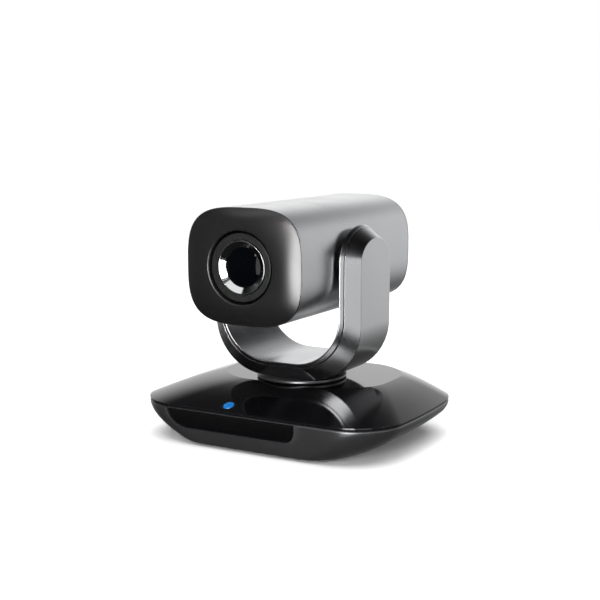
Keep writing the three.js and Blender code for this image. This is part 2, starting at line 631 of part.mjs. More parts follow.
// The strap between two depths below its inner face, drawn in from its edges by inset. It runs from the top
// of one arm, round the floor, to the top of the other. Each station is the strap's section there: two
// corners on the inner side and two on the outer side, meeting in a ridge at the very top.
function strap(innerDepth, outerDepth, inset = 0) {
  const topSteps = 8;
  const cornerSteps = 10;
  const edge = (depth, station) => {
    const share = depth / YOKE_THICKNESS;
    const halfX = YOKE_INNER_HALF + depth;
    const floorZ = YOKE_FLOOR_Z - depth;
    const corner = THREE.MathUtils.lerp(YOKE_INNER_CORNER, YOKE_OUTER_CORNER, share);
    const halfY = THREE.MathUtils.lerp(YOKE_INNER_DEPTH, YOKE_OUTER_DEPTH, share) / 2 - inset;
    const rise = THREE.MathUtils.lerp(YOKE_INNER_TOP_RISE, YOKE_OUTER_TOP_RISE, share) - inset;
    if (station <= topSteps) {
      const angle = (Math.PI / 2) * (1 - station / topSteps);
      return { x: halfX, z: TILT_Z + rise * Math.sin(angle), halfY: halfY * Math.cos(angle) };
    }
    const angle = ((Math.PI / 2) * (station - topSteps - 1)) / cornerSteps;
    const x = halfX - corner + corner * Math.cos(angle);
    return { x, z: floorZ + corner - corner * Math.sin(angle), halfY };
  };
  const section = (station, side) => {
    const inner = edge(innerDepth, station);
    const outer = edge(outerDepth, station);
    return [[inner, -1], [outer, -1], [outer, 1], [inner, 1]].map(([end, face]) =>
      new THREE.Vector3(side * end.x, face * end.halfY, end.z));
  };
  const stations = Array.from({ length: topSteps + cornerSteps + 2 }, (_, i) => i);
  const left = stations.map((station) => section(station, -1));
  const right = stations.map((station) => section(station, 1)).reverse();
  return loft([...left, ...right], false);
}

{
  const shellFrom = YOKE_COVER_THICKNESS + GAP;
  const channel = strap(shellFrom - 1, YOKE_THICKNESS - WALL, WALL);
  const neck = rod('z', SPINDLE_BORE, YOKE_BOTTOM_Z - 1, YOKE_FLOOR_Z - shellFrom);
  const shanks = [-1, 1].map((side) =>
    rod('z', SCREW_SHANK + GAP, YOKE_BOTTOM_Z - 1, YOKE_FLOOR_Z - shellFrom, side * YOKE_SCREW_X, 0, 12));
  piece(yoke, 'yoke_shell', cut(strap(shellFrom, YOKE_THICKNESS), channel, neck, ...shanks), 'headSatin');

  const holeReach = YOKE_INNER_HALF + YOKE_THICKNESS;
  const pivotHole = rod('x', PIVOT_RADIUS + GAP, -holeReach, holeReach, 0, TILT_Z, 24);
  piece(yoke, 'yoke_cover', cut(strap(0, YOKE_COVER_THICKNESS), pivotHole), 'headSatin');

  const tip = DECK_Z + TURNTABLE_CLEARANCE;
  const headBottom = YOKE_BOTTOM_Z + WALL + GAP;
  const headTop = headBottom + 1.6;
  const profile = [[0, tip], [SCREW_SHANK, tip], [SCREW_SHANK, headBottom], [SCREW_HEAD, headBottom],
    [SCREW_HEAD, headTop], [0, headTop]];
  for (const [name, side] of [['left', -1], ['right', 1]]) {
    piece(yoke, `yoke_screw_${name}`, turned('z', profile, 14), 'steel', side * YOKE_SCREW_X, 0, 0);
  }
}

// Pivot pins: a flange held in the yoke's channel and a pin through its cover into the head. The tilt wheel
// stands still on the right pin, and the head carries the motor round it.
{
  const flangeInner = YOKE_INNER_HALF + YOKE_COVER_THICKNESS + GAP;
  const flangeOuter = flangeInner + PIVOT_FLANGE_THICKNESS;
  const profile = [[0, PIVOT_REACH], [PIVOT_RADIUS, PIVOT_REACH], [PIVOT_RADIUS, flangeInner],
    [PIVOT_FLANGE_RADIUS, flangeInner], [PIVOT_FLANGE_RADIUS, flangeOuter], [0, flangeOuter]];
  piece(yoke, 'tilt_pivot_right', turned('x', profile, 24), 'steel', 0, 0, TILT_Z);
  const mirrored = profile.map(([radius, x]) => [radius, -x]);
  piece(yoke, 'tilt_pivot_left', turned('x', mirrored, 24), 'steel', 0, 0, TILT_Z);

  const wheelOuter = TILT_WHEEL_X + GEAR_WIDTH;
  const flat = gear(TILT_WHEEL_TEETH, PIVOT_RADIUS + GAP, TILT_WHEEL_X, wheelOuter, false);
  const holes = wheelHoles(TILT_HOLE_RADIUS, TILT_HOLE_CIRCLE, TILT_WHEEL_X - 1, wheelOuter + 1);
  piece(yoke, 'tilt_gear', cut(flat, ...holes).rotate([0, 90, 0]), 'nylon', 0, 0, TILT_Z);
}

// ---------------------------------------------------------------- Head shells

// The head's section at y, drawn in by inset: a superellipse about the tilt axis.
function headRing(y, inset, sides = 36) {
  return Array.from({ length: sides }, (_, i) => {
    const angle = (2 * Math.PI * i) / sides;
    const reach = (value) => Math.sign(value) * Math.abs(value) ** (2 / HEAD_SQUARENESS);
    return new THREE.Vector3(
      (HEAD_HALF_X - inset) * reach(Math.cos(angle)),
      y,
      (HEAD_HALF_Z - inset) * reach(Math.sin(angle)),
    );
  });
}

// A shallow pillow that starts at y and bulges along direction, as a parabola that levels out at its face.
function pillow(y, direction, bulge, rounding, inset) {
  const steps = 4;
  return Array.from({ length: steps + 1 }, (_, i) => {
    const share = i / steps;
    return headRing(y + direction * bulge * (1 - (1 - share) ** 2), inset + rounding * share);
  });
}

const bushX = HEAD_HALF_X - WALL;
const bushRadius = PIVOT_RADIUS + GAP + BUSH_WALL;
{
  const pivotHoles = rod('x', bushRadius + GAP, -HEAD_HALF_X - 1, HEAD_HALF_X + 1, 0, 0, 24);
  const outside = loft([headRing(BARREL_FRONT + GAP, 0), headRing(BARREL_REAR, 0)]);
  const inside = loft([headRing(BARREL_FRONT - 1, WALL), headRing(BARREL_REAR + 1, WALL)]);
  piece(head, 'barrel_shell', cut(outside, inside, pivotHoles), 'headSatin');

  const lipInset = WALL + GAP;
  const lip = (from, to) => cut(
    loft([headRing(from, lipInset), headRing(to, lipInset)]),
    loft([headRing(from - 1, lipInset + LIP_WALL), headRing(to + 1, lipInset + LIP_WALL)]),
  );
  const bezelOutside = loft(pillow(BARREL_FRONT, -1, BEZEL_BULGE, BEZEL_ROUNDING, 0));
  const bezelCavity = pillow(BARREL_FRONT, -1, BEZEL_BULGE - WALL, BEZEL_ROUNDING, lipInset + LIP_WALL);
  const bezelHollow = loft([headRing(BARREL_FRONT + 1, lipInset + LIP_WALL), ...bezelCavity]);
  const bezelLip = lip(BARREL_FRONT - 1, BARREL_FRONT + LIP_LENGTH);
  const collar = ring('y', LENS_OPENING - 0.5, LENS_OPENING + 1.5, BEZEL_FACE_Y + 0.5, BARREL_FRONT + 3);
  const opening = rod('y', LENS_OPENING, BEZEL_FACE_Y - 1, BARREL_FRONT + 4, 0, 0, 40);
  const bezelBody = join(cut(bezelOutside, bezelHollow), bezelLip, collar);
  piece(head, 'front_bezel', cut(bezelBody, opening), 'bezelSatin');

  const seam = BARREL_REAR + GAP;
  const capOutside = loft(pillow(seam, 1, REAR_BULGE, REAR_ROUNDING, 0));
  const capLip = lip(seam - LIP_LENGTH, seam + 0.5);
  piece(head, 'rear_cover', join(capOutside, capLip), 'headSatin');
}
for (const [name, side] of [['left', -1], ['right', 1]]) {
  const flange = HEAD_HALF_X + GAP;
  const profile = [[PIVOT_RADIUS + GAP, bushX - 2], [bushRadius, bushX - 2], [bushRadius, flange],
    [bushRadius + 2, flange], [bushRadius + 2, flange + 1], [PIVOT_RADIUS + GAP, flange + 1]];
  const bush = turned('x', profile.map(([radius, x]) => [radius, side * x]), 24);
  piece(head, `tilt_bush_${name}`, bush, 'nylon');
}

// ---------------------------------------------------------------- Tilt motor, frame and processing board

{
  const wheelOuter = TILT_WHEEL_X + GEAR_WIDTH;
  const bracketInner = TILT_WHEEL_X - 1 - 1.6 - GAP;
  const bracketOuter = bracketInner + SHEET;
  const motorRear = bracketInner + GAP + 0.2 - TILT_MOTOR_LENGTH;
  const seat = bracketInner - TILT_SEAT;
  const can = cut(
    rod('x', TILT_MOTOR_RADIUS, motorRear, bracketInner - GAP, 0, 0, 28),
    rod('x', SHAFT_RADIUS + GAP, seat, bracketInner + 1),
  );
  piece(head, 'tilt_motor', can, 'steel', 0, TILT_CENTRES, 0);

  const shaft = rod('x', SHAFT_RADIUS, seat + GAP, wheelOuter + 2 * PINION_OVERHANG);
  const teeth = gear(PINION_TEETH, 0, TILT_WHEEL_X - PINION_OVERHANG, wheelOuter + PINION_OVERHANG, true);
  piece(head, 'tilt_pinion', join(shaft, teeth.rotate([0, 90, 0])), 'brass', 0, TILT_CENTRES, 0);

  const floorZ = -HEAD_HALF_Z + WALL + FRAME_RISE;
  const frameRear = BARREL_REAR - FRAME_SHORT;
  const floorTop = floorZ + PLATE_THICKNESS;
  const floor = box(-bracketOuter, bracketOuter, FRONT_PLATE_Y, frameRear, floorZ, floorTop);
  const bracketFront = TILT_CENTRES - BRACKET_HALF;
  const bracketRear = TILT_CENTRES + BRACKET_HALF;
  const bracket = box(bracketInner, bracketOuter, bracketFront, bracketRear, floorZ + 1, BRACKET_HALF);
  const shaftHole = rod('x', SHAFT_RADIUS + 1, bracketInner - 1, bracketOuter + 1, TILT_CENTRES, 0, 16);
  const slotFloor = floorZ + SHEET;
  const slotRear = PROCESSING_BOARD_Y + SLOT_WIDTH;
  const slotHalf = PROCESSING_BOARD_HALF_X + 0.5;
  const slot = box(-slotHalf, slotHalf, PROCESSING_BOARD_Y, slotRear, slotFloor, floorTop + 1);
  piece(head, 'head_frame', cut(join(floor, bracket), shaftHole, slot), 'steel');

  const boardFront = PROCESSING_BOARD_Y + GAP / 2;
  const board = box(-PROCESSING_BOARD_HALF_X, PROCESSING_BOARD_HALF_X, boardFront,
    boardFront + BOARD_THICKNESS, slotFloor + GAP, PROCESSING_BOARD_TOP);
  const processor = box(-9, 9, boardFront - 1.75, boardFront + 0.15, -9, 9);
  const memory = box(-17, -11.5, boardFront - 1.25, boardFront + 0.15, -6, 6);
  piece(head, 'processing_board', join(board, processor, memory), 'board');
}

// ---------------------------------------------------------------- Lens block

{
  const tubeRear = FRONT_PLATE_Y - GAP;
  const tube = [[LENS_CONE_RADIUS, LENS_FRONT_Y + LENS_CONE_DEPTH], [LENS_TUBE_RADIUS - 1, LENS_FRONT_Y],
    [LENS_TUBE_RADIUS, LENS_FRONT_Y + 0.6], [LENS_TUBE_RADIUS, tubeRear], [LENS_CONE_RADIUS, tubeRear]];
  piece(head, 'lens_tube', turned('y', tube, 36), 'lensBlack');

  const trimFront = LENS_FRONT_Y + TRIM_SET_BACK;
  const trimRear = trimFront + TRIM_LENGTH;
  const trim = [[TRIM_RADIUS - 0.5, trimFront], [TRIM_RADIUS, trimFront + 0.5], [TRIM_RADIUS, trimRear],
    [GLASS_RADIUS, trimRear], [GLASS_RADIUS, trimFront + TRIM_DEPTH]];
  piece(head, 'lens_trim_ring', turned('y', trim, 32), 'trimSilver');

  const edgeY = trimRear + GAP;
  const steps = 4;
  const dome = Array.from({ length: steps + 1 }, (_, i) => {
    const radius = ((GLASS_RADIUS - GAP) * i) / steps;
    return [radius, edgeY - GLASS_BULGE * (1 - (radius / GLASS_RADIUS) ** 2) - GAP];
  });
  const glass = [...dome, [GLASS_RADIUS - GAP, edgeY], [TRIM_RADIUS - GAP, edgeY],
    [TRIM_RADIUS - GAP, edgeY + GLASS_EDGE], [0, edgeY + GLASS_EDGE]];
  piece(head, 'front_lens', turned('y', glass, 28), 'glass');
}

const rodPlaces = [[-ROD_OFFSET, ROD_OFFSET], [ROD_OFFSET, -ROD_OFFSET]];
const drives = {
  zoom: { x: ROD_OFFSET, z: ROD_OFFSET, y: ZOOM_CARRIAGE_Y },
  focus: { x: -ROD_OFFSET, z: -ROD_OFFSET, y: FOCUS_CARRIAGE_Y },
};
const rodStart = FRONT_PLATE_Y + PLATE_THICKNESS - ROD_SEAT;
const rodEnd = REAR_PLATE_Y + ROD_SEAT;
const chassisRear = REAR_PLATE_Y + PLATE_THICKNESS;
{
  const bottom = -PLATE_HALF_Z - RAIL_DROP;
  const plate = (y) => box(-PLATE_HALF_X, PLATE_HALF_X, y, y + PLATE_THICKNESS, bottom, PLATE_HALF_Z);
  const railTop = bottom + RAIL_THICKNESS;
  const rail = box(-PLATE_HALF_X, PLATE_HALF_X, FRONT_PLATE_Y, chassisRear, bottom, railTop);
  const blind = rodPlaces.map(([x, z]) => rod('y', ROD_RADIUS + GAP, rodStart, rodEnd, x, z, 16));
  const through = Object.values(drives).map(({ x, z }) =>
    rod('y', SCREW_RADIUS + GAP, rodStart, chassisRear + 1, x, z, 16));
  const light = rod('y', LIGHT_HOLE_RADIUS, FRONT_PLATE_Y - 1, FRONT_PLATE_Y + PLATE_THICKNESS + 1, 0, 0, 32);
  const holeX = SENSOR_HALF_X + SENSOR_MARGIN;
  const holeZ = SENSOR_HALF_Z + SENSOR_MARGIN;
  const sensorHole = box(-holeX, holeX, REAR_PLATE_Y - 1, chassisRear + 1, -holeZ, holeZ);
  const body = join(plate(FRONT_PLATE_Y), plate(REAR_PLATE_Y), rail);
  piece(head, 'lens_chassis', cut(body, ...blind, ...through, light, sensorHole), 'blackPlastic');
}
for (const [i, [x, z]] of rodPlaces.entries()) {
  const bar = rod('y', ROD_RADIUS, rodStart + GAP, rodEnd - GAP, 0, 0, 16);
  piece(head, `guide_rod_${i + 1}`, bar, 'steel', x, 0, z);
}

// A carriage plate with its lens seat, which slides on the rods and is pushed by its own lead screw.
function carriage() {
  const half = CARRIAGE_THICKNESS / 2;
  const halfX = ROD_OFFSET + CARRIAGE_MARGIN_X;
  const halfZ = ROD_OFFSET + CARRIAGE_MARGIN_Z;
  const plate = box(-halfX, halfX, -half, half, -halfZ, halfZ);
  const seat = rod('y', CARRIAGE_LENS_RADIUS + GAP, -half - 1, half + 1, 0, 0, 24);
  const corners = [[-1, 1, ROD_RADIUS], [1, -1, ROD_RADIUS], [1, 1, SCREW_RADIUS], [-1, -1, SCREW_RADIUS]];
  const bores = corners.map(([sx, sz, radius]) =>
    rod('y', radius + GAP, -half - 1, half + 1, sx * ROD_OFFSET, sz * ROD_OFFSET, 12));
  return cut(plate, seat, ...bores);
}

for (const [name, { x, z, y }] of Object.entries(drives)) {
  piece(head, `${name}_carriage`, carriage(), 'blackPlastic', 0, y, 0);
  const profile = [[0, -2.4], [4, -2], [CARRIAGE_LENS_RADIUS, -0.8], [CARRIAGE_LENS_RADIUS, 0.8], [4, 2],
    [0, 2.4]];
  piece(head, `${name}_lens`, turned('y', profile, 20), 'glass', 0, y, 0);

  const motorFront = chassisRear + GAP;
  const seat = motorFront + STEPPER_SEAT;
  const screw = rod('y', SCREW_RADIUS, rodStart + GAP, seat, 0, 0, 16);
  piece(head, `${name}_lead_screw`, screw, 'steel', x, 0, z);
  const motor = cut(
    rod('y', STEPPER_RADIUS, motorFront, motorFront + STEPPER_LENGTH, 0, 0, 24),
    rod('y', SCREW_RADIUS + GAP, motorFront - 1, seat + GAP, 0, 0, 16),
  );
  piece(head, `${name}_motor`, motor, 'steel', x, 0, z);
}
{
  const boardFront = chassisRear + 1;
  const sensorFront = boardFront - 1.8;
  const sensor = box(-SENSOR_HALF_X, SENSOR_HALF_X, sensorFront, boardFront - GAP,
    -SENSOR_HALF_Z, SENSOR_HALF_Z);
  piece(head, 'image_sensor', sensor, 'chip');
  const half = SENSOR_BOARD_HALF;
  const board = box(-half, half, boardFront, boardFront + BOARD_THICKNESS, -half, half);
  piece(head, 'sensor_board', board, 'board');
}

export default camera;
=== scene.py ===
"""A pan-tilt-zoom conference camera: a rounded head that tilts in a U-shaped yoke, which pans on a flat base.

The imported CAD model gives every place. Shapes are worked out in millimetres, and meshes are stored in metres.
"""
import math

import bmesh
import bpy
import numpy as np
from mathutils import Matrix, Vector


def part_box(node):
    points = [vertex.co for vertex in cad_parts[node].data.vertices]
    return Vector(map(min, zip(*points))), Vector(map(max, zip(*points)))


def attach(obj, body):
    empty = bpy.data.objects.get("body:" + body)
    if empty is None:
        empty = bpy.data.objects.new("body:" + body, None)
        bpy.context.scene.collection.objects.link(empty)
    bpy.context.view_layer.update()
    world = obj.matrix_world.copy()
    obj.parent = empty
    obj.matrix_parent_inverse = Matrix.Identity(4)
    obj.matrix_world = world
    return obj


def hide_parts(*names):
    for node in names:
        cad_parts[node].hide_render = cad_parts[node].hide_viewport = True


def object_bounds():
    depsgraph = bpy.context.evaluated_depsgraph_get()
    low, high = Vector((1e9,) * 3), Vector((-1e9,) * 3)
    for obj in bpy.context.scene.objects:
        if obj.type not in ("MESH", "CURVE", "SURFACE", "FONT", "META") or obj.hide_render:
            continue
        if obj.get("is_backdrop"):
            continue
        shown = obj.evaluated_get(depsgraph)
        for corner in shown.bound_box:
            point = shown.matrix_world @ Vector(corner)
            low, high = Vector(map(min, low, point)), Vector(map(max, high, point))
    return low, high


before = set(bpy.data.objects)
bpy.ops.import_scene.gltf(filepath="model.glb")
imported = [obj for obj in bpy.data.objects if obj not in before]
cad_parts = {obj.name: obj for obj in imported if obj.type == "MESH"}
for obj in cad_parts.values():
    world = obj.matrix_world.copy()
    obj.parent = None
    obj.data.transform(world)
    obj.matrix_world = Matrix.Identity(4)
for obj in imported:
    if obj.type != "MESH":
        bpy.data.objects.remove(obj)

MM = 0.001
cad_low, cad_high = (list(corner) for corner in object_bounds())


# ---------------------------------------------------------------------- Viewpoint
# A long lens stands a little above the camera and to its right, and looks at the head's lower half.

VIEW_AZIMUTH = math.radians(29.454)
VIEW_ELEVATION = math.radians(8.728)
VIEW_DISTANCE = 0.650
VIEW_LENS = 69.97
AIM_FROM_MIDDLE = Vector((-0.0025, 0.0004, 0.0090))

view_data = bpy.data.cameras.new("view_lens")
view_data.lens = VIEW_LENS
view_data.sensor_width = 36
view_data.clip_start = 0.01
viewpoint = bpy.data.objects.new("viewpoint", view_data)
bpy.context.scene.collection.objects.link(viewpoint)
backwards = Vector((
    math.sin(VIEW_AZIMUTH) * math.cos(VIEW_ELEVATION),
    -math.cos(VIEW_AZIMUTH) * math.cos(VIEW_ELEVATION),
    math.sin(VIEW_ELEVATION),
))
middle = (Vector(cad_low) + Vector(cad_high)) / 2
viewpoint.location = middle + AIM_FROM_MIDDLE + VIEW_DISTANCE * backwards
viewpoint.rotation_euler = backwards.to_track_quat("Z", "Y").to_euler()
bpy.context.scene.camera = viewpoint


# ---------------------------------------------------------------------- Studio
# A matt white table under broad soft light, which gloss does not see. Gloss sees a dark room instead, with
# a bright backdrop low behind the object, a key softbox at its right front, and weaker softboxes at its
# right and above its front for the yoke's edges and the lens.

def skin(name, grid, join_ends=False):
    """A closed skin over rings of points in millimetres: each ring closes on itself, and each point is
    joined to its neighbours along the ring and to the same point of the next ring. Rings that shrink to a
    point or fold to a line close the ends, and join_ends closes the last ring on the first."""
    rings, count = grid.shape[:2]
    index = np.arange(rings * count).reshape(rings, count)
    nearer = index if join_ends else index[:-1]
    further = np.roll(index, -1, axis=0) if join_ends else index[1:]
    quads = np.stack([nearer, np.roll(nearer, -1, axis=1), np.roll(further, -1, axis=1), further], axis=-1)
    mesh = bpy.data.meshes.new(name)
    mesh.from_pydata(grid.reshape(-1, 3) * MM, [], quads.reshape(-1, 4).tolist())
    work = bmesh.new()
    work.from_mesh(mesh)
    bmesh.ops.remove_doubles(work, verts=work.verts, dist=1e-6)
    bmesh.ops.recalc_face_normals(work, faces=work.faces)
    if work.calc_volume(signed=True) < 0:
        bmesh.ops.reverse_faces(work, faces=work.faces)
    work.to_mesh(mesh)
    work.free()
    made = bpy.data.objects.new(name, mesh)
    bpy.context.scene.collection.objects.link(made)
    return made


def capped(grid):
    """The same rings with both ends drawn in to their middles."""
    first = np.broadcast_to(grid[:1].mean(axis=1, keepdims=True), grid[:1].shape)
    last = np.broadcast_to(grid[-1:].mean(axis=1, keepdims=True), grid[-1:].shape)
    return np.concatenate([first, grid, last])


TABLE_RADIUS = 1300
TABLE_THICKNESS = 12
table_turn = np.linspace(0, 2 * math.pi, 96, endpoint=False)
table_edge = np.stack([
    TABLE_RADIUS * np.cos(table_turn),
    TABLE_RADIUS * np.sin(table_turn),
    np.full(table_turn.size, -float(TABLE_THICKNESS)),
], axis=-1)
table = skin("table", capped(np.stack([table_edge, table_edge + [0, 0, TABLE_THICKNESS]])))
table.visible_glossy = False
table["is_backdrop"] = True

table_paint = bpy.data.materials.new("table_paint")
table_paint.use_nodes = True
table_shader = table_paint.node_tree.nodes["Principled BSDF"]
table_shader.inputs["Base Color"].default_value = (0.90, 0.90, 0.90, 1)
table_shader.inputs["Roughness"].default_value = 0.9
table_shader.inputs["Specular IOR Level"].default_value = 0.1
table.data.materials.append(table_paint)

bpy.context.scene.view_settings.view_transform = "Standard"


def node_of(tree, kind, **values):
    """A shader node with its settings, and with the values of its unlinked inputs."""
    made = tree.nodes.new("ShaderNode" + kind)
    for key, value in values.items():
        if hasattr(made, key):
            setattr(made, key, value)
        else:
            made.inputs[key.replace("_", " ")].default_value = value
    return made


def smooth_range(tree, source, start, end, low, high):
    """A smooth step from low to high as the source goes from start to end."""
    step = node_of(tree, "MapRange", interpolation_type="SMOOTHSTEP", From_Min=start, From_Max=end,
                   To_Min=low, To_Max=high)
    tree.links.new(source, step.inputs["Value"])
    return step.outputs[0]


def product(tree, first, second):
    """The product of two values."""
    times = node_of(tree, "Math", operation="MULTIPLY")
    tree.links.new(first, times.inputs[0])
    tree.links.new(second, times.inputs[1])
    return times.outputs[0]


BACKDROP_SIDE = (-0.20, 0.98, 0.0)
ROOM_DARK = 0.05
room = bpy.data.worlds.new("studio_room")
room.use_nodes = True
bpy.context.scene.world = room
tree = room.node_tree
direction = node_of(tree, "TexCoord").outputs["Generated"]
split = node_of(tree, "SeparateXYZ")
tree.links.new(direction, split.inputs[0])
towards_backdrop = node_of(tree, "VectorMath", operation="DOT_PRODUCT")
towards_backdrop.inputs[1].default_value = BACKDROP_SIDE
tree.links.new(direction, towards_backdrop.inputs[0])
behind = smooth_range(tree, towards_backdrop.outputs["Value"], 0.10, 1.0, 0.10, 1.30)
not_high = smooth_range(tree, split.outputs["Z"], 0.25, 0.72, 1.0, ROOM_DARK)
not_low = smooth_range(tree, split.outputs["Z"], -0.50, -0.05, 0.12, 1.0)
glow = product(tree, product(tree, behind, not_high), not_low)
seen_by_gloss = tree.nodes["Background"]
tree.links.new(glow, seen_by_gloss.inputs["Color"])
seen_directly = node_of(tree, "Background")
seen_directly.inputs["Color"].default_value = (1, 1, 1, 1)
either = node_of(tree, "MixShader")
tree.links.new(node_of(tree, "LightPath").outputs["Is Camera Ray"], either.inputs[0])
tree.links.new(seen_by_gloss.outputs[0], either.inputs[1])
tree.links.new(seen_directly.outputs[0], either.inputs[2])
tree.links.new(either.outputs[0], tree.nodes["World Output"].inputs["Surface"])


def softbox(name, place, towards, width, height, power):
    """A rectangular lamp at a place in metres, turned towards a point."""
    lamp = bpy.data.lights.new(name, "AREA")
    lamp.shape = "RECTANGLE"
    lamp.size = width
    lamp.size_y = height
    lamp.energy = power
    holder = bpy.data.objects.new(name, lamp)
    bpy.context.scene.collection.objects.link(holder)
    holder.location = place
    away = Vector(place) - Vector(towards)
    holder.rotation_euler = away.to_track_quat("Z", "Y").to_euler()
    holder.visible_camera = False
    return holder


LAMP_AIM = (0, 0, 0.09)
broad_light = softbox("broad_light", (0.1, 0.1, 2.2), (0, 0, 0), 3.2, 3.2, 110.0)
broad_light.visible_glossy = False
softbox("right_softbox", (1.25, -0.10, 0.10), LAMP_AIM, 0.60, 0.75, 2.0)
softbox("key_softbox", (0.36, -1.08, 0.10), LAMP_AIM, 0.50, 0.90, 22.0)
softbox("side_softbox", (0.88, -0.76, 0.05), LAMP_AIM, 0.50, 0.90, 1.6)
softbox("upper_softbox", (-0.17, -0.82, 0.95), LAMP_AIM, 1.10, 0.40, 1.8)
small_softbox = softbox("small_softbox", (0.057, -1.10, 0.56), LAMP_AIM, 0.09, 0.09, 1.6)
small_softbox.data.color = (1.0, 0.86, 0.90)


# ---------------------------------------------------------------------- Lower shell of the base
# The base's underside and flared sides: one injection-moulded shell in a dark metallic satin lacquer. It is
# screwed up to the top cover, and has an opening for the infrared window and a recess for the rear sockets.

def place_of(node):
    """A CAD node's lowest corner, highest corner and middle, in millimetres."""
    low, high = (np.array(corner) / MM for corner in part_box(node))
    return low, high, (low + high) / 2


BASE_HALF_X = 73.6
BASE_HALF_Y = 54.6
BASE_CORNER = 24.5
BASE_BULGE_X = 3.9
BASE_BULGE_Y = 0.5
SHELL_SIDE_TAPER = 26.5
SHELL_FRONT_TAPER = 1.5
SHELL_REAR_TAPER = 4.3
SHELL_FLOOR_CORNER = 16
WALL = 2.2
GAP = 0.3
RIM_ROUNDING = 0.5
FLOOR_ROUNDING = 1.0

shell_low, shell_high, shell_middle = place_of("base_lower_shell")
floor_z, rim_z = shell_low[2], shell_high[2]
panel_low, panel_high, _ = place_of("rear_panel")

ARC_STEPS = 20
SIDE_STEPS = 18
quarter = np.arange(4)[:, None]


def quarter_signs(which):
    """On which side of the middle the corner of a quarter turn lies, along X and along Y."""
    towards = np.radians(90 * which + 45)
    return np.sign(np.cos(towards)), np.sign(np.sin(towards))


def outline_track():
    """Points round a rounded rectangle, as the share of the way to each corner's centre and the direction
    out of it: an arc of a quarter turn about each corner, then a straight side to the next."""
    arc_turn = np.radians(90 * (quarter + np.arange(ARC_STEPS + 1) / ARC_STEPS))
    side_turn = np.radians(90 * (quarter + 1)) + np.zeros(SIDE_STEPS - 1)
    turn = np.concatenate([arc_turn, side_turn], axis=1)
    here, there = quarter_signs(quarter), quarter_signs(quarter + 1)
    along_side = np.concatenate([np.zeros(ARC_STEPS + 1), np.arange(1, SIDE_STEPS) / SIDE_STEPS])
    share_x = here[0] + (there[0] - here[0]) * along_side
    share_y = here[1] + (there[1] - here[1]) * along_side
    return share_x.ravel(), share_y.ravel(), np.cos(turn).ravel(), np.sin(turn).ravel()


def base_rings(z, side, front, rear, corner):
    """Rings of the base's outline: a rounded rectangle drawn in at its sides, front and rear. Each side
    then swells by bulge x (distance / half)^6 x (1 - (other / other half)^2), so it is bowed in its
    middle."""
    z, side, front, rear, corner = np.broadcast_arrays(*(
        np.asarray(value, float).reshape(-1, 1) for value in (z, side, front, rear, corner)))
    share_x, share_y, out_x, out_y = outline_track()
    half_x = BASE_HALF_X - side
    half_y = BASE_HALF_Y - (front + rear) / 2
    x = share_x * (half_x - corner) + corner * out_x
    y = share_y * (half_y - corner) + corner * out_y
    swell_x = np.sign(x) * (abs(x) / half_x) ** 6 * BASE_BULGE_X * (1 - (y / half_y) ** 2)
    swell_y = np.sign(y) * (abs(y) / half_y) ** 6 * BASE_BULGE_Y * (1 - (x / half_x) ** 2)
    return np.stack([
        x + swell_x,
        shell_middle[1] + (front - rear) / 2 + y + swell_y,
        z + np.zeros_like(x),
    ], axis=-1)


def lower_body(inset, bottom, top, rounding=0.0, steps=36):
    """The lower shell's outside, shrunk by inset: its outline draws in as the square of the depth below the
    rim. With rounding, its bottom and top edges turn over in quarter circles."""
    turn = np.linspace(0, math.pi / 2, 6 if rounding else 1)
    over = rounding * (1 - np.cos(turn))
    rise = rounding * (1 - np.sin(turn))
    wall = np.linspace(bottom + rounding, top - rounding, steps)
    z = np.concatenate([bottom + rise[::-1], wall, top - rise])
    extra = np.concatenate([over[::-1], np.zeros(steps), over])
    depth = np.clip((rim_z - z) / (rim_z - floor_z), 0, None) ** 2
    shrunk = inset + extra
    return capped(base_rings(
        z,
        shrunk + SHELL_SIDE_TAPER * depth,
        shrunk + SHELL_FRONT_TAPER * depth,
        shrunk + SHELL_REAR_TAPER * depth,
        BASE_CORNER - inset + (SHELL_FLOOR_CORNER - BASE_CORNER) * depth,
    ))


def carve(body, operation, tool):
    """Cuts the tool out of the body, joins it on or keeps what the two share, and throws the tool away."""
    step = body.modifiers.new(operation.lower(), "BOOLEAN")
    step.operation = operation
    step.solver = "EXACT"
    step.object = tool
    bpy.context.view_layer.update()
    settled = body.evaluated_get(bpy.context.evaluated_depsgraph_get())
    result = bpy.data.meshes.new_from_object(settled)
    body.modifiers.clear()
    body.data = result
    bpy.data.objects.remove(tool)
    return body


def block(low, high):
    """A plain box between two corners, as a cutting tool."""
    corners = np.array([[low[0], low[1]], [high[0], low[1]], [high[0], high[1]], [low[0], high[1]]], float)
    rings = [np.column_stack([corners, np.full(4, z)]) for z in (low[2], high[2])]
    return skin("block", capped(np.array(rings)))


AXES = {"x": (1, 2, 0), "y": (2, 0, 1), "z": (0, 1, 2)}


def turned(name, axis, centre, profile, sides=128):
    """A lathe-turned skin: each profile point (radius, distance along the axis) sweeps a circle round the
    centre."""
    profile = np.asarray(profile, float)
    first, second, third = AXES[axis]
    turn = np.linspace(0, 2 * math.pi, sides, endpoint=False)
    grid = np.empty((len(profile), sides, 3))
    grid[..., first] = centre[first] + profile[:, :1] * np.cos(turn)
    grid[..., second] = centre[second] + profile[:, :1] * np.sin(turn)
    grid[..., third] = centre[third] + profile[:, 1:2]
    return skin(name, grid, join_ends=profile[0, 0] > 0)


def bar(axis, centre, radius, start, end, sides=96):
    """A round bar along an axis, as a cutting tool."""
    return turned("bar", axis, centre, [(0, start), (radius, start), (radius, end), (0, end)], sides)


WINDOW_SWEEP = 14
WINDOW_CORNER = 6
window_low, window_high, _ = place_of("ir_window")


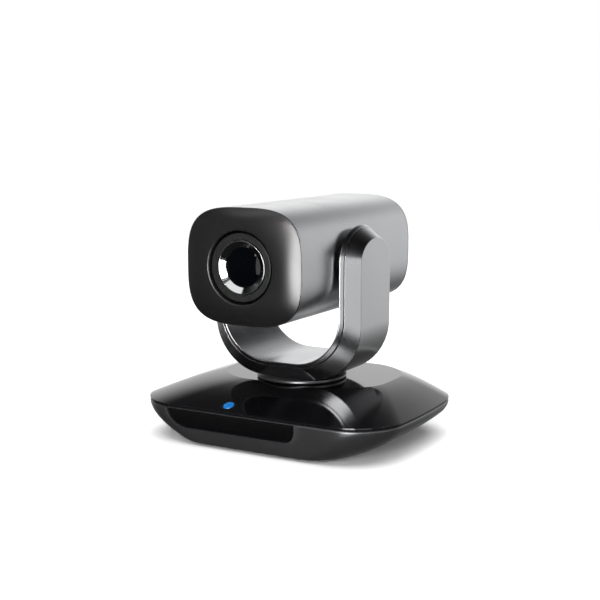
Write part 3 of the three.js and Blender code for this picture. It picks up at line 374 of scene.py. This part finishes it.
def window_block(margin):
    """The infrared window's outline as a block through the front wall: straight along the top and at the
    right, with a round lower right corner and a long elliptical sweep at the left."""
    left, right = window_low[0] - margin, window_high[0] + margin
    bottom, top = window_low[2] - margin, window_high[2] + margin
    turn = np.linspace(0, math.pi / 2, 40)
    sweep, radius = WINDOW_SWEEP + margin, WINDOW_CORNER + margin
    x = np.concatenate([left + sweep * (1 - np.cos(turn)), right - radius * (1 - np.sin(turn)), [right]])
    z = np.concatenate([top - (top - bottom) * np.sin(turn), bottom + radius * (1 - np.cos(turn)), [top]])
    front = window_low[1] - 2
    rings = [np.column_stack([x, np.full(x.size, y), z]) for y in (front, front + 12)]
    return skin("window_block", capped(np.array(rings)))


lower_shell = skin("lower_shell", lower_body(0, floor_z, rim_z, FLOOR_ROUNDING))
recess_walls = block(
    (panel_low[0] - GAP - WALL, panel_low[1], floor_z + 0.5),
    (panel_high[0] + GAP + WALL, shell_high[1] - 0.6, panel_high[2] + GAP),
)
carve(recess_walls, "INTERSECT", skin("inside_of_shell", lower_body(RIM_ROUNDING, floor_z + 0.4, rim_z)))
carve(lower_shell, "DIFFERENCE", skin("hollow", lower_body(WALL, floor_z + WALL, rim_z + 1)))
carve(lower_shell, "UNION", recess_walls)
carve(lower_shell, "DIFFERENCE", window_block(GAP))
carve(lower_shell, "DIFFERENCE", block(
    (panel_low[0] - GAP, panel_low[1] - 3, panel_low[2] - GAP),
    (panel_high[0] + GAP, shell_high[1] + 2, rim_z + 2),
))
INSERT_RADIUS = 6
insert_middle = place_of("tripod_insert")[2]
carve(lower_shell, "DIFFERENCE", bar(
    "z", insert_middle, INSERT_RADIUS + GAP, floor_z - insert_middle[2] - 1, 4))


def finish(name, colour, roughness, metallic=0.0, grain=0.30, grain_depth=0.004, cloud=0.06, scuff=0.10,
           wear=0.25, **sockets):
    """A moulded, lacquered or machined finish. Fine grain, in millimetres, lifts the surface. Slow clouds
    shift the colour and the roughness a little, hairline scuffs roughen it, and a mesh's own edge value
    marks rubbed edges, which are paler and rougher where a noise breaks them up."""
    material = bpy.data.materials.new(name)
    material.use_nodes = True
    tree = material.node_tree
    link = tree.links.new
    shader = tree.nodes["Principled BSDF"]
    shader.inputs["Metallic"].default_value = metallic
    for socket, value in sockets.items():
        shader.inputs[socket.replace("_", " ")].default_value = value
    place = node_of(tree, "TexCoord").outputs["Object"]

    clouds = node_of(tree, "TexNoise", Scale=45.0, Detail=4.0, Roughness=0.6)
    stretched = node_of(tree, "Mapping", Rotation=(0.4, 0.7, 0.5), Scale=(55.0, 2600.0, 900.0))
    hairlines = node_of(tree, "TexNoise", Scale=1.0, Detail=2.0)
    hair_mask = node_of(tree, "MapRange", From_Min=0.60, From_Max=0.78, To_Min=0.0, To_Max=scuff)
    patches = node_of(tree, "TexNoise", Scale=900.0, Detail=3.0)
    edge = node_of(tree, "Attribute", attribute_name="edge")
    rubbed = node_of(tree, "Math", operation="MULTIPLY")
    rubbed_some = node_of(tree, "MapRange", From_Min=0.35, From_Max=0.65, To_Min=0.0, To_Max=wear)
    link(place, clouds.inputs["Vector"])
    link(place, stretched.inputs["Vector"])
    link(stretched.outputs[0], hairlines.inputs["Vector"])
    link(hairlines.outputs["Fac"], hair_mask.inputs["Value"])
    link(place, patches.inputs["Vector"])
    link(patches.outputs["Fac"], rubbed_some.inputs["Value"])
    link(rubbed_some.outputs[0], rubbed.inputs[0])
    link(edge.outputs["Fac"], rubbed.inputs[1])

    base = np.array(colour, float)
    tint = node_of(tree, "Mix", data_type="RGBA")
    tint.inputs["A"].default_value = (*np.clip(base * (1 - cloud), 0, 1), 1)
    tint.inputs["B"].default_value = (*np.clip(base * (1 + cloud), 0, 1), 1)
    worn = node_of(tree, "Mix", data_type="RGBA")
    worn.inputs["B"].default_value = (*np.clip(base * 1.6 + 0.02, 0, 1), 1)
    link(clouds.outputs["Fac"], tint.inputs["Factor"])
    link(rubbed.outputs[0], worn.inputs["Factor"])
    link(tint.outputs["Result"], worn.inputs["A"])
    link(worn.outputs["Result"], shader.inputs["Base Color"])

    level = node_of(tree, "MapRange", From_Min=0.3, From_Max=0.7)
    level.inputs["To Min"].default_value = max(roughness * 0.88, 0.02)
    level.inputs["To Max"].default_value = min(roughness * 1.12, 1.0)
    scuffed = node_of(tree, "Math", operation="ADD")
    total = node_of(tree, "Math", operation="ADD", use_clamp=True)
    link(clouds.outputs["Fac"], level.inputs["Value"])
    link(level.outputs[0], scuffed.inputs[0])
    link(hair_mask.outputs[0], scuffed.inputs[1])
    link(scuffed.outputs[0], total.inputs[0])
    link(rubbed.outputs[0], total.inputs[1])
    link(total.outputs[0], shader.inputs["Roughness"])

    pebbles = node_of(tree, "TexNoise", Scale=1 / (grain * MM), Detail=2.0)
    bump = node_of(tree, "Bump", Strength=1.0, Distance=grain_depth * MM)
    link(place, pebbles.inputs["Vector"])
    link(pebbles.outputs["Fac"], bump.inputs["Height"])
    link(bump.outputs[0], shader.inputs["Normal"])
    return material


def edge_values(mesh):
    """Each vertex's rubbing, 0 on flats to 1 on tight edges: the sharpest turn between two faces that meet
    at one of its edges, divided by what counts as tight."""
    loops, faces = len(mesh.loops), len(mesh.polygons)
    edge_of_loop = np.empty(loops, int)
    mesh.loops.foreach_get("edge_index", edge_of_loop)
    sizes = np.empty(faces, int)
    mesh.polygons.foreach_get("loop_total", sizes)
    normals = np.empty(faces * 3)
    mesh.polygons.foreach_get("normal", normals)
    normals = normals.reshape(-1, 3)
    ends = np.empty(len(mesh.edges) * 2, int)
    mesh.edges.foreach_get("vertices", ends)
    order = np.argsort(edge_of_loop, kind="stable")
    sorted_edges = edge_of_loop[order]
    sorted_faces = np.repeat(np.arange(faces), sizes)[order]
    pair = np.flatnonzero(sorted_edges[1:] == sorted_edges[:-1])
    alignment = (normals[sorted_faces[pair]] * normals[sorted_faces[pair + 1]]).sum(axis=1)
    turn = np.arccos(np.clip(alignment, -1, 1))
    value = np.zeros(len(mesh.vertices))
    np.maximum.at(value, ends.reshape(-1, 2)[sorted_edges[pair]].ravel(), np.repeat(turn, 2))
    tight = math.radians(16)
    return np.clip(value / tight - 0.5, 0, 1).astype(np.float32)


def fit(piece, material, body, slot, *nodes, crease=32):
    """Shades a piece, marks its rubbed edges, gives it its finish, and puts it on its body in place of CAD
    nodes."""
    mesh = piece.data
    mesh.shade_smooth()
    mesh.set_sharp_from_angle(angle=math.radians(crease))
    mesh.attributes.new("edge", "FLOAT", "POINT").data.foreach_set("value", edge_values(mesh))
    mesh.materials.clear()
    mesh.materials.append(material)
    weighting = piece.modifiers.new("even_shading", "WEIGHTED_NORMAL")
    weighting.keep_sharp = True
    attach(piece, body)
    if nodes:
        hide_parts(*nodes)
    return piece


shell_satin = finish("shell_satin", (0.095, 0.096, 0.100), 0.32, metallic=0.85, grain=0.25, scuff=0.04,
                     Coat_Weight=0.3, Coat_Roughness=0.22)
fit(lower_shell, shell_satin, "base", "shell_satin", "base_lower_shell")


# ---------------------------------------------------------------------- Infrared window
# A pane of gloss black plastic that passes infrared light, set a little back in the front wall. The two
# receiver domes behind it are CAD pieces.

window_gloss = finish("window_gloss", (0.0010, 0.0010, 0.0013), 0.06, grain=6.0, grain_depth=0.002,
                      cloud=0.2, scuff=0.05, Coat_Weight=1.0, Coat_Roughness=0.03)
PANE_SET_BACK = 0.8
PANE_THICKNESS = 1.2
window_pane = window_block(0)
window_pane.name = "window_pane"
carve(window_pane, "INTERSECT", skin("outside", lower_body(PANE_SET_BACK, floor_z, rim_z, FLOOR_ROUNDING)))
pane_inner = PANE_SET_BACK + PANE_THICKNESS
carve(window_pane, "DIFFERENCE", skin("hollow", lower_body(pane_inner, floor_z + 1, rim_z + 1)))
fit(window_pane, window_gloss, "base", "window_gloss", "ir_window")


# ---------------------------------------------------------------------- Top cover of the base
# A shallow dome in polished black plastic. It rises from an upright edge to a flat deck round the
# turntable, and its gloss mirrors the yoke.

COVER_EDGE = 1.2
COVER_SIDE_RUN = 28
COVER_FRONT_RUN = 36
COVER_REAR_RUN = 2.5
COVER_ROUNDNESS = 0.48
SPINDLE_HOLE = 9.3

cover_bottom = rim_z + GAP
deck_z = place_of("base_top_cover")[1][2]
pan_axis = place_of("turntable")[2]


def cover_dome(inset, drop, steps=44):
    """The cover's rising part as rings. Its height climbs as a line mixed with a quarter sine wave, while
    its outline draws in evenly by the side, front and rear runs."""
    t = np.linspace(0, 1, steps)
    rise = (1 - COVER_ROUNDNESS) * t + COVER_ROUNDNESS * np.sin(t * math.pi / 2)
    base_z = cover_bottom + COVER_EDGE - drop
    height = deck_z - cover_bottom - COVER_EDGE
    return base_rings(base_z + height * rise, inset + COVER_SIDE_RUN * t, inset + COVER_FRONT_RUN * t,
                      inset + COVER_REAR_RUN * t, BASE_CORNER - inset)


def deck_to_hole(edge_ring, steps=14):
    """Rings across the flat deck, each a blend from the deck's edge to a circle round the spindle."""
    away = edge_ring[:, :2] - pan_axis[:2]
    out = away / np.linalg.norm(away, axis=1, keepdims=True)
    hole = np.column_stack([pan_axis[:2] + SPINDLE_HOLE * out, edge_ring[:, 2]])
    share = np.concatenate([[0.02], np.linspace(0.06, 1, steps)])[:, None, None]
    return edge_ring + share * (hole - edge_ring)


def soften(rings, times=2):
    """Rings whose creases are rounded by cutting each corner between three rings at a quarter of each
    side."""
    for _ in range(times):
        start, end = rings[:-1], rings[1:]
        middle_rings = np.stack([0.75 * start + 0.25 * end, 0.25 * start + 0.75 * end], axis=1)
        rings = np.concatenate([rings[:1], middle_rings.reshape(-1, *rings.shape[1:]), rings[-1:]])
    return rings


edge_turn = np.linspace(0, math.pi / 2, 6)
edge_draw = RIM_ROUNDING * (1 - np.cos(edge_turn))
edge_rise = RIM_ROUNDING * (1 - np.sin(edge_turn))
edge_rings = base_rings(cover_bottom + edge_rise, edge_draw, edge_draw, edge_draw, BASE_CORNER)[::-1]
outer_dome = cover_dome(0, 0)
outer_rings = np.concatenate([outer_dome, deck_to_hole(outer_dome[-1])])
inner_dome = cover_dome(WALL, WALL)[:-1]
inner_rings = np.concatenate([
    base_rings(cover_bottom, WALL, WALL, WALL, BASE_CORNER - WALL),
    inner_dome[inner_dome[:, 0, 2] > cover_bottom + 0.1],
    deck_to_hole(inner_dome[-1]),
])
top_cover = skin("top_cover", np.concatenate([edge_rings, soften(outer_rings, 1), inner_rings[::-1]]),
                 join_ends=True)
light_low, light_high, light_middle = place_of("status_light")
LIGHT_RADIUS = (light_high[0] - light_low[0]) / 2
carve(top_cover, "DIFFERENCE", bar("z", light_middle, LIGHT_RADIUS + GAP, -8, 8, 64))

cover_gloss = finish("cover_gloss", (0.0025, 0.0025, 0.0030), 0.08, grain=8.0, grain_depth=0.002,
                     cloud=0.15, scuff=0.05, Coat_Weight=0.0)
fit(top_cover, cover_gloss, "base", "cover_gloss", "base_top_cover")


# ---------------------------------------------------------------------- Status light
# A clear blue lens over a diode, pushed up through the cover so that it stands a hair proud of the slope.

LIGHT_PROUD = 0.25
LIGHT_DEPTH = 6
status_lens = bar("z", light_middle, LIGHT_RADIUS, -3, 8, 64)
status_lens.name = "status_lens"
raised_dome = cover_dome(0, -LIGHT_PROUD)
raised_block = np.concatenate([raised_dome[:1] - [0, 0, LIGHT_DEPTH], raised_dome])
carve(status_lens, "INTERSECT", skin("raised_cover", capped(raised_block)))
status_blue = finish("status_blue", (0.003, 0.09, 0.32), 0.16, grain=0.6, scuff=0.04, cloud=0.15,
                     Emission_Color=(0.0, 0.17, 0.42, 1), Emission_Strength=0.45, Coat_Weight=1.0)
fit(status_lens, status_blue, "base", "status_light", "status_light")


# ---------------------------------------------------------------------- Turntable
# A moulded disc under the yoke, whose spindle runs down through the cover into the pan bearing.

def rounded(corners, radius, steps=5):
    """A closed outline whose corners are rounded. Each corner becomes an arc between its two tangent
    points, which lie radius / tan(half the corner's angle) along its sides. radius is one value or one for
    each corner."""
    corners = np.asarray(corners, float)
    radii = np.broadcast_to(radius, len(corners))
    outline = []
    neighbours = np.roll(corners, 1, axis=0), corners, np.roll(corners, -1, axis=0)
    for before, corner, after, r in zip(*neighbours, radii):
        if r == 0:
            outline.append(corner[None])
            continue
        to_before = (before - corner) / np.linalg.norm(before - corner)
        to_after = (after - corner) / np.linalg.norm(after - corner)
        half = math.acos(float(np.clip(to_before @ to_after, -1, 1))) / 2
        bisector = (to_before + to_after) / np.linalg.norm(to_before + to_after)
        centre = corner + bisector * r / math.sin(half)
        start = corner + to_before * r / math.tan(half) - centre
        end = corner + to_after * r / math.tan(half) - centre
        sweep = math.pi - 2 * half
        share = np.linspace(0, 1, steps)[:, None]
        arc = np.sin((1 - share) * sweep) * start + np.sin(share * sweep) * end
        outline.append(centre + arc / math.sin(sweep))
    return np.concatenate(outline)


DISC_THICKNESS = 1.6
SPINDLE_RADIUS = 9
SPINDLE_BORE = 4.5
table_low, table_high, _ = place_of("turntable")
disc_radius = (table_high[0] - table_low[0]) / 2
disc_top = table_high[2] - pan_axis[2]
disc_bottom = disc_top - DISC_THICKNESS
spindle_end = table_low[2] - pan_axis[2]
disc_profile = rounded([
    (SPINDLE_BORE, spindle_end), (SPINDLE_RADIUS, spindle_end), (SPINDLE_RADIUS, disc_bottom),
    (disc_radius, disc_bottom), (disc_radius, disc_top), (SPINDLE_BORE, disc_top),
], [0, 0.4, 0.3, 0.5, 0.5, 0.3])
turntable_disc = turned("turntable_disc", "z", pan_axis, disc_profile, 160)
fit(turntable_disc, shell_satin, "yoke", "shell_satin", "turntable")


# ---------------------------------------------------------------------- Yoke
# A strap bent to a U, broad on the inside and bevelled towards the outside, with half-round arm ends. The
# outer shell and the thin inner cover are moulded apart and lacquered in a mid-grey metallic satin.

YOKE_THICKNESS = 9.5
YOKE_INNER_DEPTH = 50
YOKE_OUTER_DEPTH = 35
YOKE_INNER_CORNER = 27.4
YOKE_OUTER_CORNER = 31
YOKE_INNER_TOP_RISE = 19
YOKE_OUTER_TOP_RISE = 12
YOKE_COVER_THICKNESS = 2.1

yoke_low = place_of("yoke_shell")[0]
tilt_z = place_of("tilt_pivot_right")[2][2]
yoke_inner_half = place_of("yoke_cover")[1][0] - YOKE_COVER_THICKNESS
yoke_floor_z = yoke_low[2] + YOKE_THICKNESS
yoke_middle_y = pan_axis[1]


def section_edge(depth):
    """Half the strap's width at a depth below its inner face."""
    return (YOKE_INNER_DEPTH + (YOKE_OUTER_DEPTH - YOKE_INNER_DEPTH) * depth / YOKE_THICKNESS) / 2


def strap(name, section, top_steps=36, corner_steps=40, run_steps=6):
    """A skin along the U. The section lists (depth below the inner face, distance across). Up an arm's end
    each point follows a half ellipse that folds to a ridge at the top, down the arm a line, and round the
    corner an arc, whose radius grows with depth."""
    depth, across = np.asarray(section, float).T
    share = depth / YOKE_THICKNESS
    half_x = yoke_inner_half + depth
    level = yoke_floor_z - depth
    corner = YOKE_INNER_CORNER + (YOKE_OUTER_CORNER - YOKE_INNER_CORNER) * share
    inset = section_edge(depth) - abs(across)
    rise = YOKE_INNER_TOP_RISE + (YOKE_OUTER_TOP_RISE - YOKE_INNER_TOP_RISE) * share - inset

    turn = np.linspace(math.pi / 2, 0, top_steps)[:, None]
    top = np.stack(np.broadcast_arrays(half_x, across * np.cos(turn), tilt_z + rise * np.sin(turn)), axis=-1)
    fall = np.linspace(0, 1, run_steps)[1:-1, None]
    run = np.stack(np.broadcast_arrays(half_x, across, tilt_z + fall * (level + corner - tilt_z)), axis=-1)
    bend = np.linspace(0, math.pi / 2, corner_steps)[:, None]
    arc = np.stack(np.broadcast_arrays(
        half_x - corner * (1 - np.cos(bend)), across, level + corner * (1 - np.sin(bend))), axis=-1)
    right = np.concatenate([top, run, arc])
    left = right[::-1] * [-1, 1, 1]
    return skin(name, np.concatenate([right, left]) + [0, yoke_middle_y, 0])


liner_section = rounded([
    (0, -section_edge(0)), (0, section_edge(0)),
    (YOKE_COVER_THICKNESS, section_edge(YOKE_COVER_THICKNESS)),
    (YOKE_COVER_THICKNESS, -section_edge(YOKE_COVER_THICKNESS)),
], [0.4, 0.4, 0.15, 0.15])
yoke_liner = strap("yoke_liner", liner_section)
PIN_HOLE = 5.3
for side in (-1, 1):
    arm = (side * yoke_inner_half, yoke_middle_y, tilt_z)
    carve(yoke_liner, "DIFFERENCE", bar("x", arm, PIN_HOLE, -6, 6, 64))

shell_depth = YOKE_COVER_THICKNESS + GAP
channel_depth = YOKE_THICKNESS - WALL
shell_section = rounded([
    (shell_depth, -section_edge(shell_depth) + WALL), (shell_depth, -section_edge(shell_depth)),
    (YOKE_THICKNESS, -section_edge(YOKE_THICKNESS)), (YOKE_THICKNESS, section_edge(YOKE_THICKNESS)),
    (shell_depth, section_edge(shell_depth)), (shell_depth, section_edge(shell_depth) - WALL),
    (channel_depth, section_edge(channel_depth) - WALL), (channel_depth, -section_edge(channel_depth) + WALL),
], [0.1, 0.15, 0.45, 0.45, 0.15, 0.1, 0.4, 0.4])
yoke_casting = strap("yoke_casting", shell_section)
carve(yoke_casting, "DIFFERENCE", bar("z", (0, yoke_middle_y, yoke_low[2]), SPINDLE_BORE, -3, 4, 64))

head_satin = finish("head_satin", (0.38, 0.385, 0.395), 0.25, metallic=1.0, grain=0.22,
                    grain_depth=0.003, cloud=0.03, scuff=0.015, wear=0.0, Coat_Weight=0.2,
                    Coat_Roughness=0.2)
fit(yoke_liner, head_satin, "yoke", "head_satin", "yoke_cover")
fit(yoke_casting, head_satin, "yoke", "head_satin", "yoke_shell")


# ---------------------------------------------------------------------- Barrel of the head
# A tube with a rounded-square section, moulded in one piece and lacquered like the yoke, open at both ends.

HEAD_SQUARENESS = 3.25
EDGE_SOFTNESS = 0.35

barrel_low, barrel_high, barrel_middle = place_of("barrel_shell")
head_half_x = (barrel_high[0] - barrel_low[0]) / 2
head_half_z = (barrel_high[2] - barrel_low[2]) / 2
HEAD_POINTS = 216


def even_turns():
    """Parameter values that step evenly along the head's outline, so that flats and corners are equally
    fine."""
    fine = np.linspace(0, 2 * math.pi, 20001)
    x = head_half_x * np.sign(np.cos(fine)) * abs(np.cos(fine)) ** (2 / HEAD_SQUARENESS)
    z = head_half_z * np.sign(np.sin(fine)) * abs(np.sin(fine)) ** (2 / HEAD_SQUARENESS)
    travel = np.concatenate([[0], np.cumsum(np.hypot(np.diff(x), np.diff(z)))])
    return np.interp(np.linspace(0, travel[-1], HEAD_POINTS, endpoint=False), travel, fine)


head_turn = even_turns()


def head_rings(y, inset):
    """Rings of the head's section, drawn in by inset: |x / half width|^n + |z / half height|^n = 1."""
    y, inset = (np.asarray(value, float).reshape(-1, 1) for value in np.broadcast_arrays(y, inset))
    cosine, sine = np.cos(head_turn), np.sin(head_turn)
    x = (head_half_x - inset) * np.sign(cosine) * abs(cosine) ** (2 / HEAD_SQUARENESS)
    z = (head_half_z - inset) * np.sign(sine) * abs(sine) ** (2 / HEAD_SQUARENESS)
    return np.stack([x, y + np.zeros_like(x), barrel_middle[2] + z], axis=-1)


front_seam, rear_seam = barrel_low[1], barrel_high[1]
barrel_section = rounded([
    (front_seam, WALL), (front_seam, 0), (rear_seam, 0), (rear_seam, WALL),
], [0.1, EDGE_SOFTNESS, EDGE_SOFTNESS, 0.1])
front_half, rear_half = np.split(barrel_section, 2)
between = np.column_stack([np.linspace(front_seam, rear_seam, 14)[1:-1], np.zeros(12)])
barrel = skin("barrel", head_rings(*np.concatenate([front_half, between, rear_half]).T), join_ends=True)
PIVOT_HOLE = 7.8
carve(barrel, "DIFFERENCE", bar("x", (0, yoke_middle_y, tilt_z), PIVOT_HOLE, -50, 50, 96))
fit(barrel, head_satin, "head", "head_satin", "barrel_shell")


# ---------------------------------------------------------------------- Front bezel
# A shallow pillow in near-black satin plastic that closes the front of the barrel. Its face rises as a
# parabola from the outline to a round opening for the lens, and a lip behind it plugs into the barrel.

SEAM_ROUNDING = 0.35
LENS_OPENING = 18.8
OPENING_ROUNDING = 0.9
COLLAR_WALL = 1.5
LIP_INSET = WALL + GAP
LIP_WALL = 1.6

bezel_low, bezel_high, _ = place_of("front_bezel")
lens_axis = np.array([0, 0, tilt_z])
bezel_seam = front_seam - GAP
bezel_face = bezel_low[1]


def circle_rings(y, radius):
    """Rings round the lens axis, whose points lie in the same directions as those of the head's section."""
    y, radius = (np.asarray(value, float).reshape(-1, 1) for value in np.broadcast_arrays(y, radius))
    section = head_rings([0], [0])[0]
    away = section[:, [0, 2]] - lens_axis[[0, 2]]
    out = away / np.linalg.norm(away, axis=1, keepdims=True)
    return np.stack([
        radius * out[:, 0], y + np.zeros(len(out)), tilt_z + radius * out[:, 1]], axis=-1)


opening_turn = np.linspace(0, math.pi / 2, 7)
opening_rings = circle_rings(
    bezel_face + OPENING_ROUNDING * (1 - np.cos(opening_turn)),
    LENS_OPENING + OPENING_ROUNDING * (1 - np.sin(opening_turn)),
)
outline_turn = np.linspace(0, math.pi / 2, 5)
outline_rings = head_rings(
    bezel_seam - SEAM_ROUNDING * np.sin(outline_turn),
    SEAM_ROUNDING * (1 - np.cos(outline_turn)),
)
face_edge = outline_rings[-1]
face_start = face_edge[0, 1]
face_share = np.linspace(0, 1, 34)[1:-1, None, None]
face_rings = face_edge + face_share * (opening_rings[0] - face_edge)
face_rings[..., 1] = face_start + (bezel_face - face_start) * (1 - (1 - face_share[..., 0]) ** 2)
collar_rear = bezel_seam + 3
back_rings = np.concatenate([
    circle_rings([collar_rear - 0.3, collar_rear, collar_rear, bezel_face + WALL],
                 [LENS_OPENING, LENS_OPENING + 0.3, LENS_OPENING + COLLAR_WALL, LENS_OPENING + COLLAR_WALL]),
    head_rings([bezel_seam, bezel_high[1], bezel_high[1]],
               [LIP_INSET + LIP_WALL, LIP_INSET + LIP_WALL, LIP_INSET]),
    head_rings([bezel_seam, bezel_seam], [LIP_INSET, 0.3]),
])
bezel = skin("bezel", np.concatenate([outline_rings, face_rings, opening_rings, back_rings]), join_ends=True)
bezel_satin = finish("bezel_satin", (0.0060, 0.0060, 0.0066), 0.31, grain=0.25, grain_depth=0.003,
                     cloud=0.10, scuff=0.03, Coat_Weight=0.5, Coat_Roughness=0.28)
fit(bezel, bezel_satin, "head", "bezel_satin", "front_bezel")


# ---------------------------------------------------------------------- Rear cap
# A shallow lid in the barrel's finish that snaps into its rear end, with a lip like the bezel's.

REAR_ROUNDING = 3
cap_low, cap_high, _ = place_of("rear_cover")
cap_seam = rear_seam + GAP
cap_turn = np.linspace(0, math.pi / 2, 14)
cap_bulge = cap_high[1] - cap_seam
cap_skin = head_rings(
    cap_seam + cap_bulge * np.sin(cap_turn), REAR_ROUNDING * (1 - np.cos(cap_turn)))
cap_end = cap_skin[-1]
cap_centre = cap_end.mean(axis=0)
cap_flat = cap_end + np.array([0.02, 0.15, 0.4, 0.7, 1.0])[:, None, None] * (cap_centre - cap_end)
lip_inner = LIP_INSET + LIP_WALL
lip_rings = head_rings(
    [cap_seam, cap_low[1], cap_low[1], cap_seam], [LIP_INSET, LIP_INSET, lip_inner, lip_inner])
inside_centre = cap_centre - [0, cap_bulge, 0]
inside = lip_rings[-1] + np.array([0.5, 1.0])[:, None, None] * (inside_centre - lip_rings[-1])
cap_rings = np.concatenate([cap_flat[::-1], cap_skin[::-1], lip_rings, inside])
rear_cap = skin("rear_cap", cap_rings)
fit(rear_cap, head_satin, "head", "head_satin", "rear_cover")


# ---------------------------------------------------------------------- Lens
# A black lens barrel stands in the opening, with stepped baffles sloping in to a polished ring. The ring
# holds the bulging front glass.

tube_low, tube_high, tube_middle = place_of("lens_tube")
tube_radius = (tube_high[0] - tube_low[0]) / 2
CONE_RADIUS = 14.1
CONE_DEPTH = 1.2
TUBE_LIP = 1
TUBE_EDGE = 0.4
BAFFLES = 4
tube_front, tube_rear = tube_low[1] - tube_middle[1], tube_high[1] - tube_middle[1]
cone_start = tube_radius - TUBE_LIP
baffle_step = np.arange(BAFFLES + 1) / BAFFLES
cone_radii = cone_start - (cone_start - CONE_RADIUS) * baffle_step
cone_places = tube_front + CONE_DEPTH * baffle_step
stairs = np.column_stack([np.repeat(cone_radii, 2)[:-1], np.repeat(cone_places, 2)[1:]])
front_edge = rounded([
    (tube_radius, tube_front + 2), (tube_radius, tube_front), (cone_start, tube_front),
], [0, TUBE_EDGE, 0])
tube_profile = np.concatenate([
    [(CONE_RADIUS, tube_rear), (tube_radius, tube_rear)],
    front_edge[:-1],
    stairs,
])
lens_barrel = turned("lens_barrel", "y", tube_middle, tube_profile, 160)
lens_black = finish("lens_black", (0.009, 0.010, 0.009), 0.35, metallic=0.2, grain=0.2, grain_depth=0.004)
fit(lens_barrel, lens_black, "head", "lens_black", "lens_tube")

trim_low, trim_high, trim_middle = place_of("lens_trim_ring")
trim_radius = (trim_high[0] - trim_low[0]) / 2
GLASS_RADIUS = 10.3
trim_front, trim_rear = trim_low[1] - trim_middle[1], trim_high[1] - trim_middle[1]
TRIM_DEPTH = 2.0
TRIM_EDGE = 0.5
trim_profile = rounded([
    (trim_radius, trim_rear), (trim_radius, trim_front), (trim_radius - TRIM_EDGE, trim_front),
    (GLASS_RADIUS, trim_front + TRIM_DEPTH), (GLASS_RADIUS, trim_rear),
], [0, 0.2, 0.2, 0.2, 0])
lens_trim = turned("lens_trim", "y", trim_middle, trim_profile, 160)
trim_silver = finish("trim_silver", (0.55, 0.56, 0.57), 0.10, metallic=1.0, grain=0.4,
                     grain_depth=0.002, cloud=0.05)
fit(lens_trim, trim_silver, "head", "trim_silver", "lens_trim_ring")

FLANGE_THICKNESS = 4
glass_low, glass_high, glass_middle = place_of("front_lens")
glass_rear = glass_high[1] - glass_middle[1]
dome_front = glass_low[1] - glass_middle[1]
dome_edge = GLASS_RADIUS - GAP
flange_y = glass_rear - FLANGE_THICKNESS
dome_share = np.linspace(0, 1, 32)
dome_sag = flange_y - dome_front - GAP
dome = np.column_stack([dome_edge * dome_share, dome_front + dome_sag * dome_share ** 2])
flange_radius = trim_radius - GAP
glass_profile = np.concatenate([dome, [
    (dome_edge, flange_y), (flange_radius, flange_y), (flange_radius, glass_rear), (0, glass_rear),
]])
lens_dome = turned("lens_dome", "y", glass_middle, glass_profile, 160)
lens_glass = finish("lens_glass", (0.0008, 0.0010, 0.0016), 0.03, grain=12.0, grain_depth=0.0002,
                    cloud=0.3, scuff=0.01, Specular_IOR_Level=0.04)
fit(lens_dome, lens_glass, "head", "lens_glass", "front_lens")


# ---------------------------------------------------------------------- Fittings and works
# The feet, screws, sockets, gears, motors, boards and lens carriages keep their CAD shapes. Each gets the
# finish of what it is made of.

steel = finish("steel", (0.55, 0.56, 0.57), 0.30, metallic=1.0, grain=0.15, grain_depth=0.003, scuff=0.15)
brass = finish("brass", (0.56, 0.40, 0.14), 0.30, metallic=1.0, grain=0.15, grain_depth=0.003, scuff=0.15)
nylon = finish("nylon", (0.66, 0.64, 0.57), 0.50, grain=0.3, grain_depth=0.006, Subsurface_Weight=0.05)
rubber = finish("rubber", (0.014, 0.014, 0.015), 0.80, grain=0.35, grain_depth=0.03, cloud=0.2)
black_plastic = finish("black_plastic", (0.018, 0.018, 0.020), 0.45, grain=0.4, grain_depth=0.02)
circuit_board = finish("circuit_board", (0.012, 0.085, 0.035), 0.42, grain=0.5, grain_depth=0.02, cloud=0.2)
chip = finish("chip", (0.02, 0.02, 0.022), 0.40, grain=0.3, grain_depth=0.01)
slot_finishes = {
    "cover_gloss": cover_gloss, "shell_satin": shell_satin, "window_gloss": window_gloss,
    "bezel_satin": bezel_satin, "head_satin": head_satin, "status_light": status_blue, "rubber": rubber,
    "steel": steel, "brass": brass, "nylon": nylon, "black_plastic": black_plastic, "lens_black": lens_black,
    "trim_silver": trim_silver, "lens_glass": lens_glass, "circuit_board": circuit_board, "chip": chip,
}
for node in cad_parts.values():
    slot_name = node.data.materials[0].name.split(".")[0]
    node.data.materials.clear()
    node.data.materials.append(slot_finishes[slot_name])
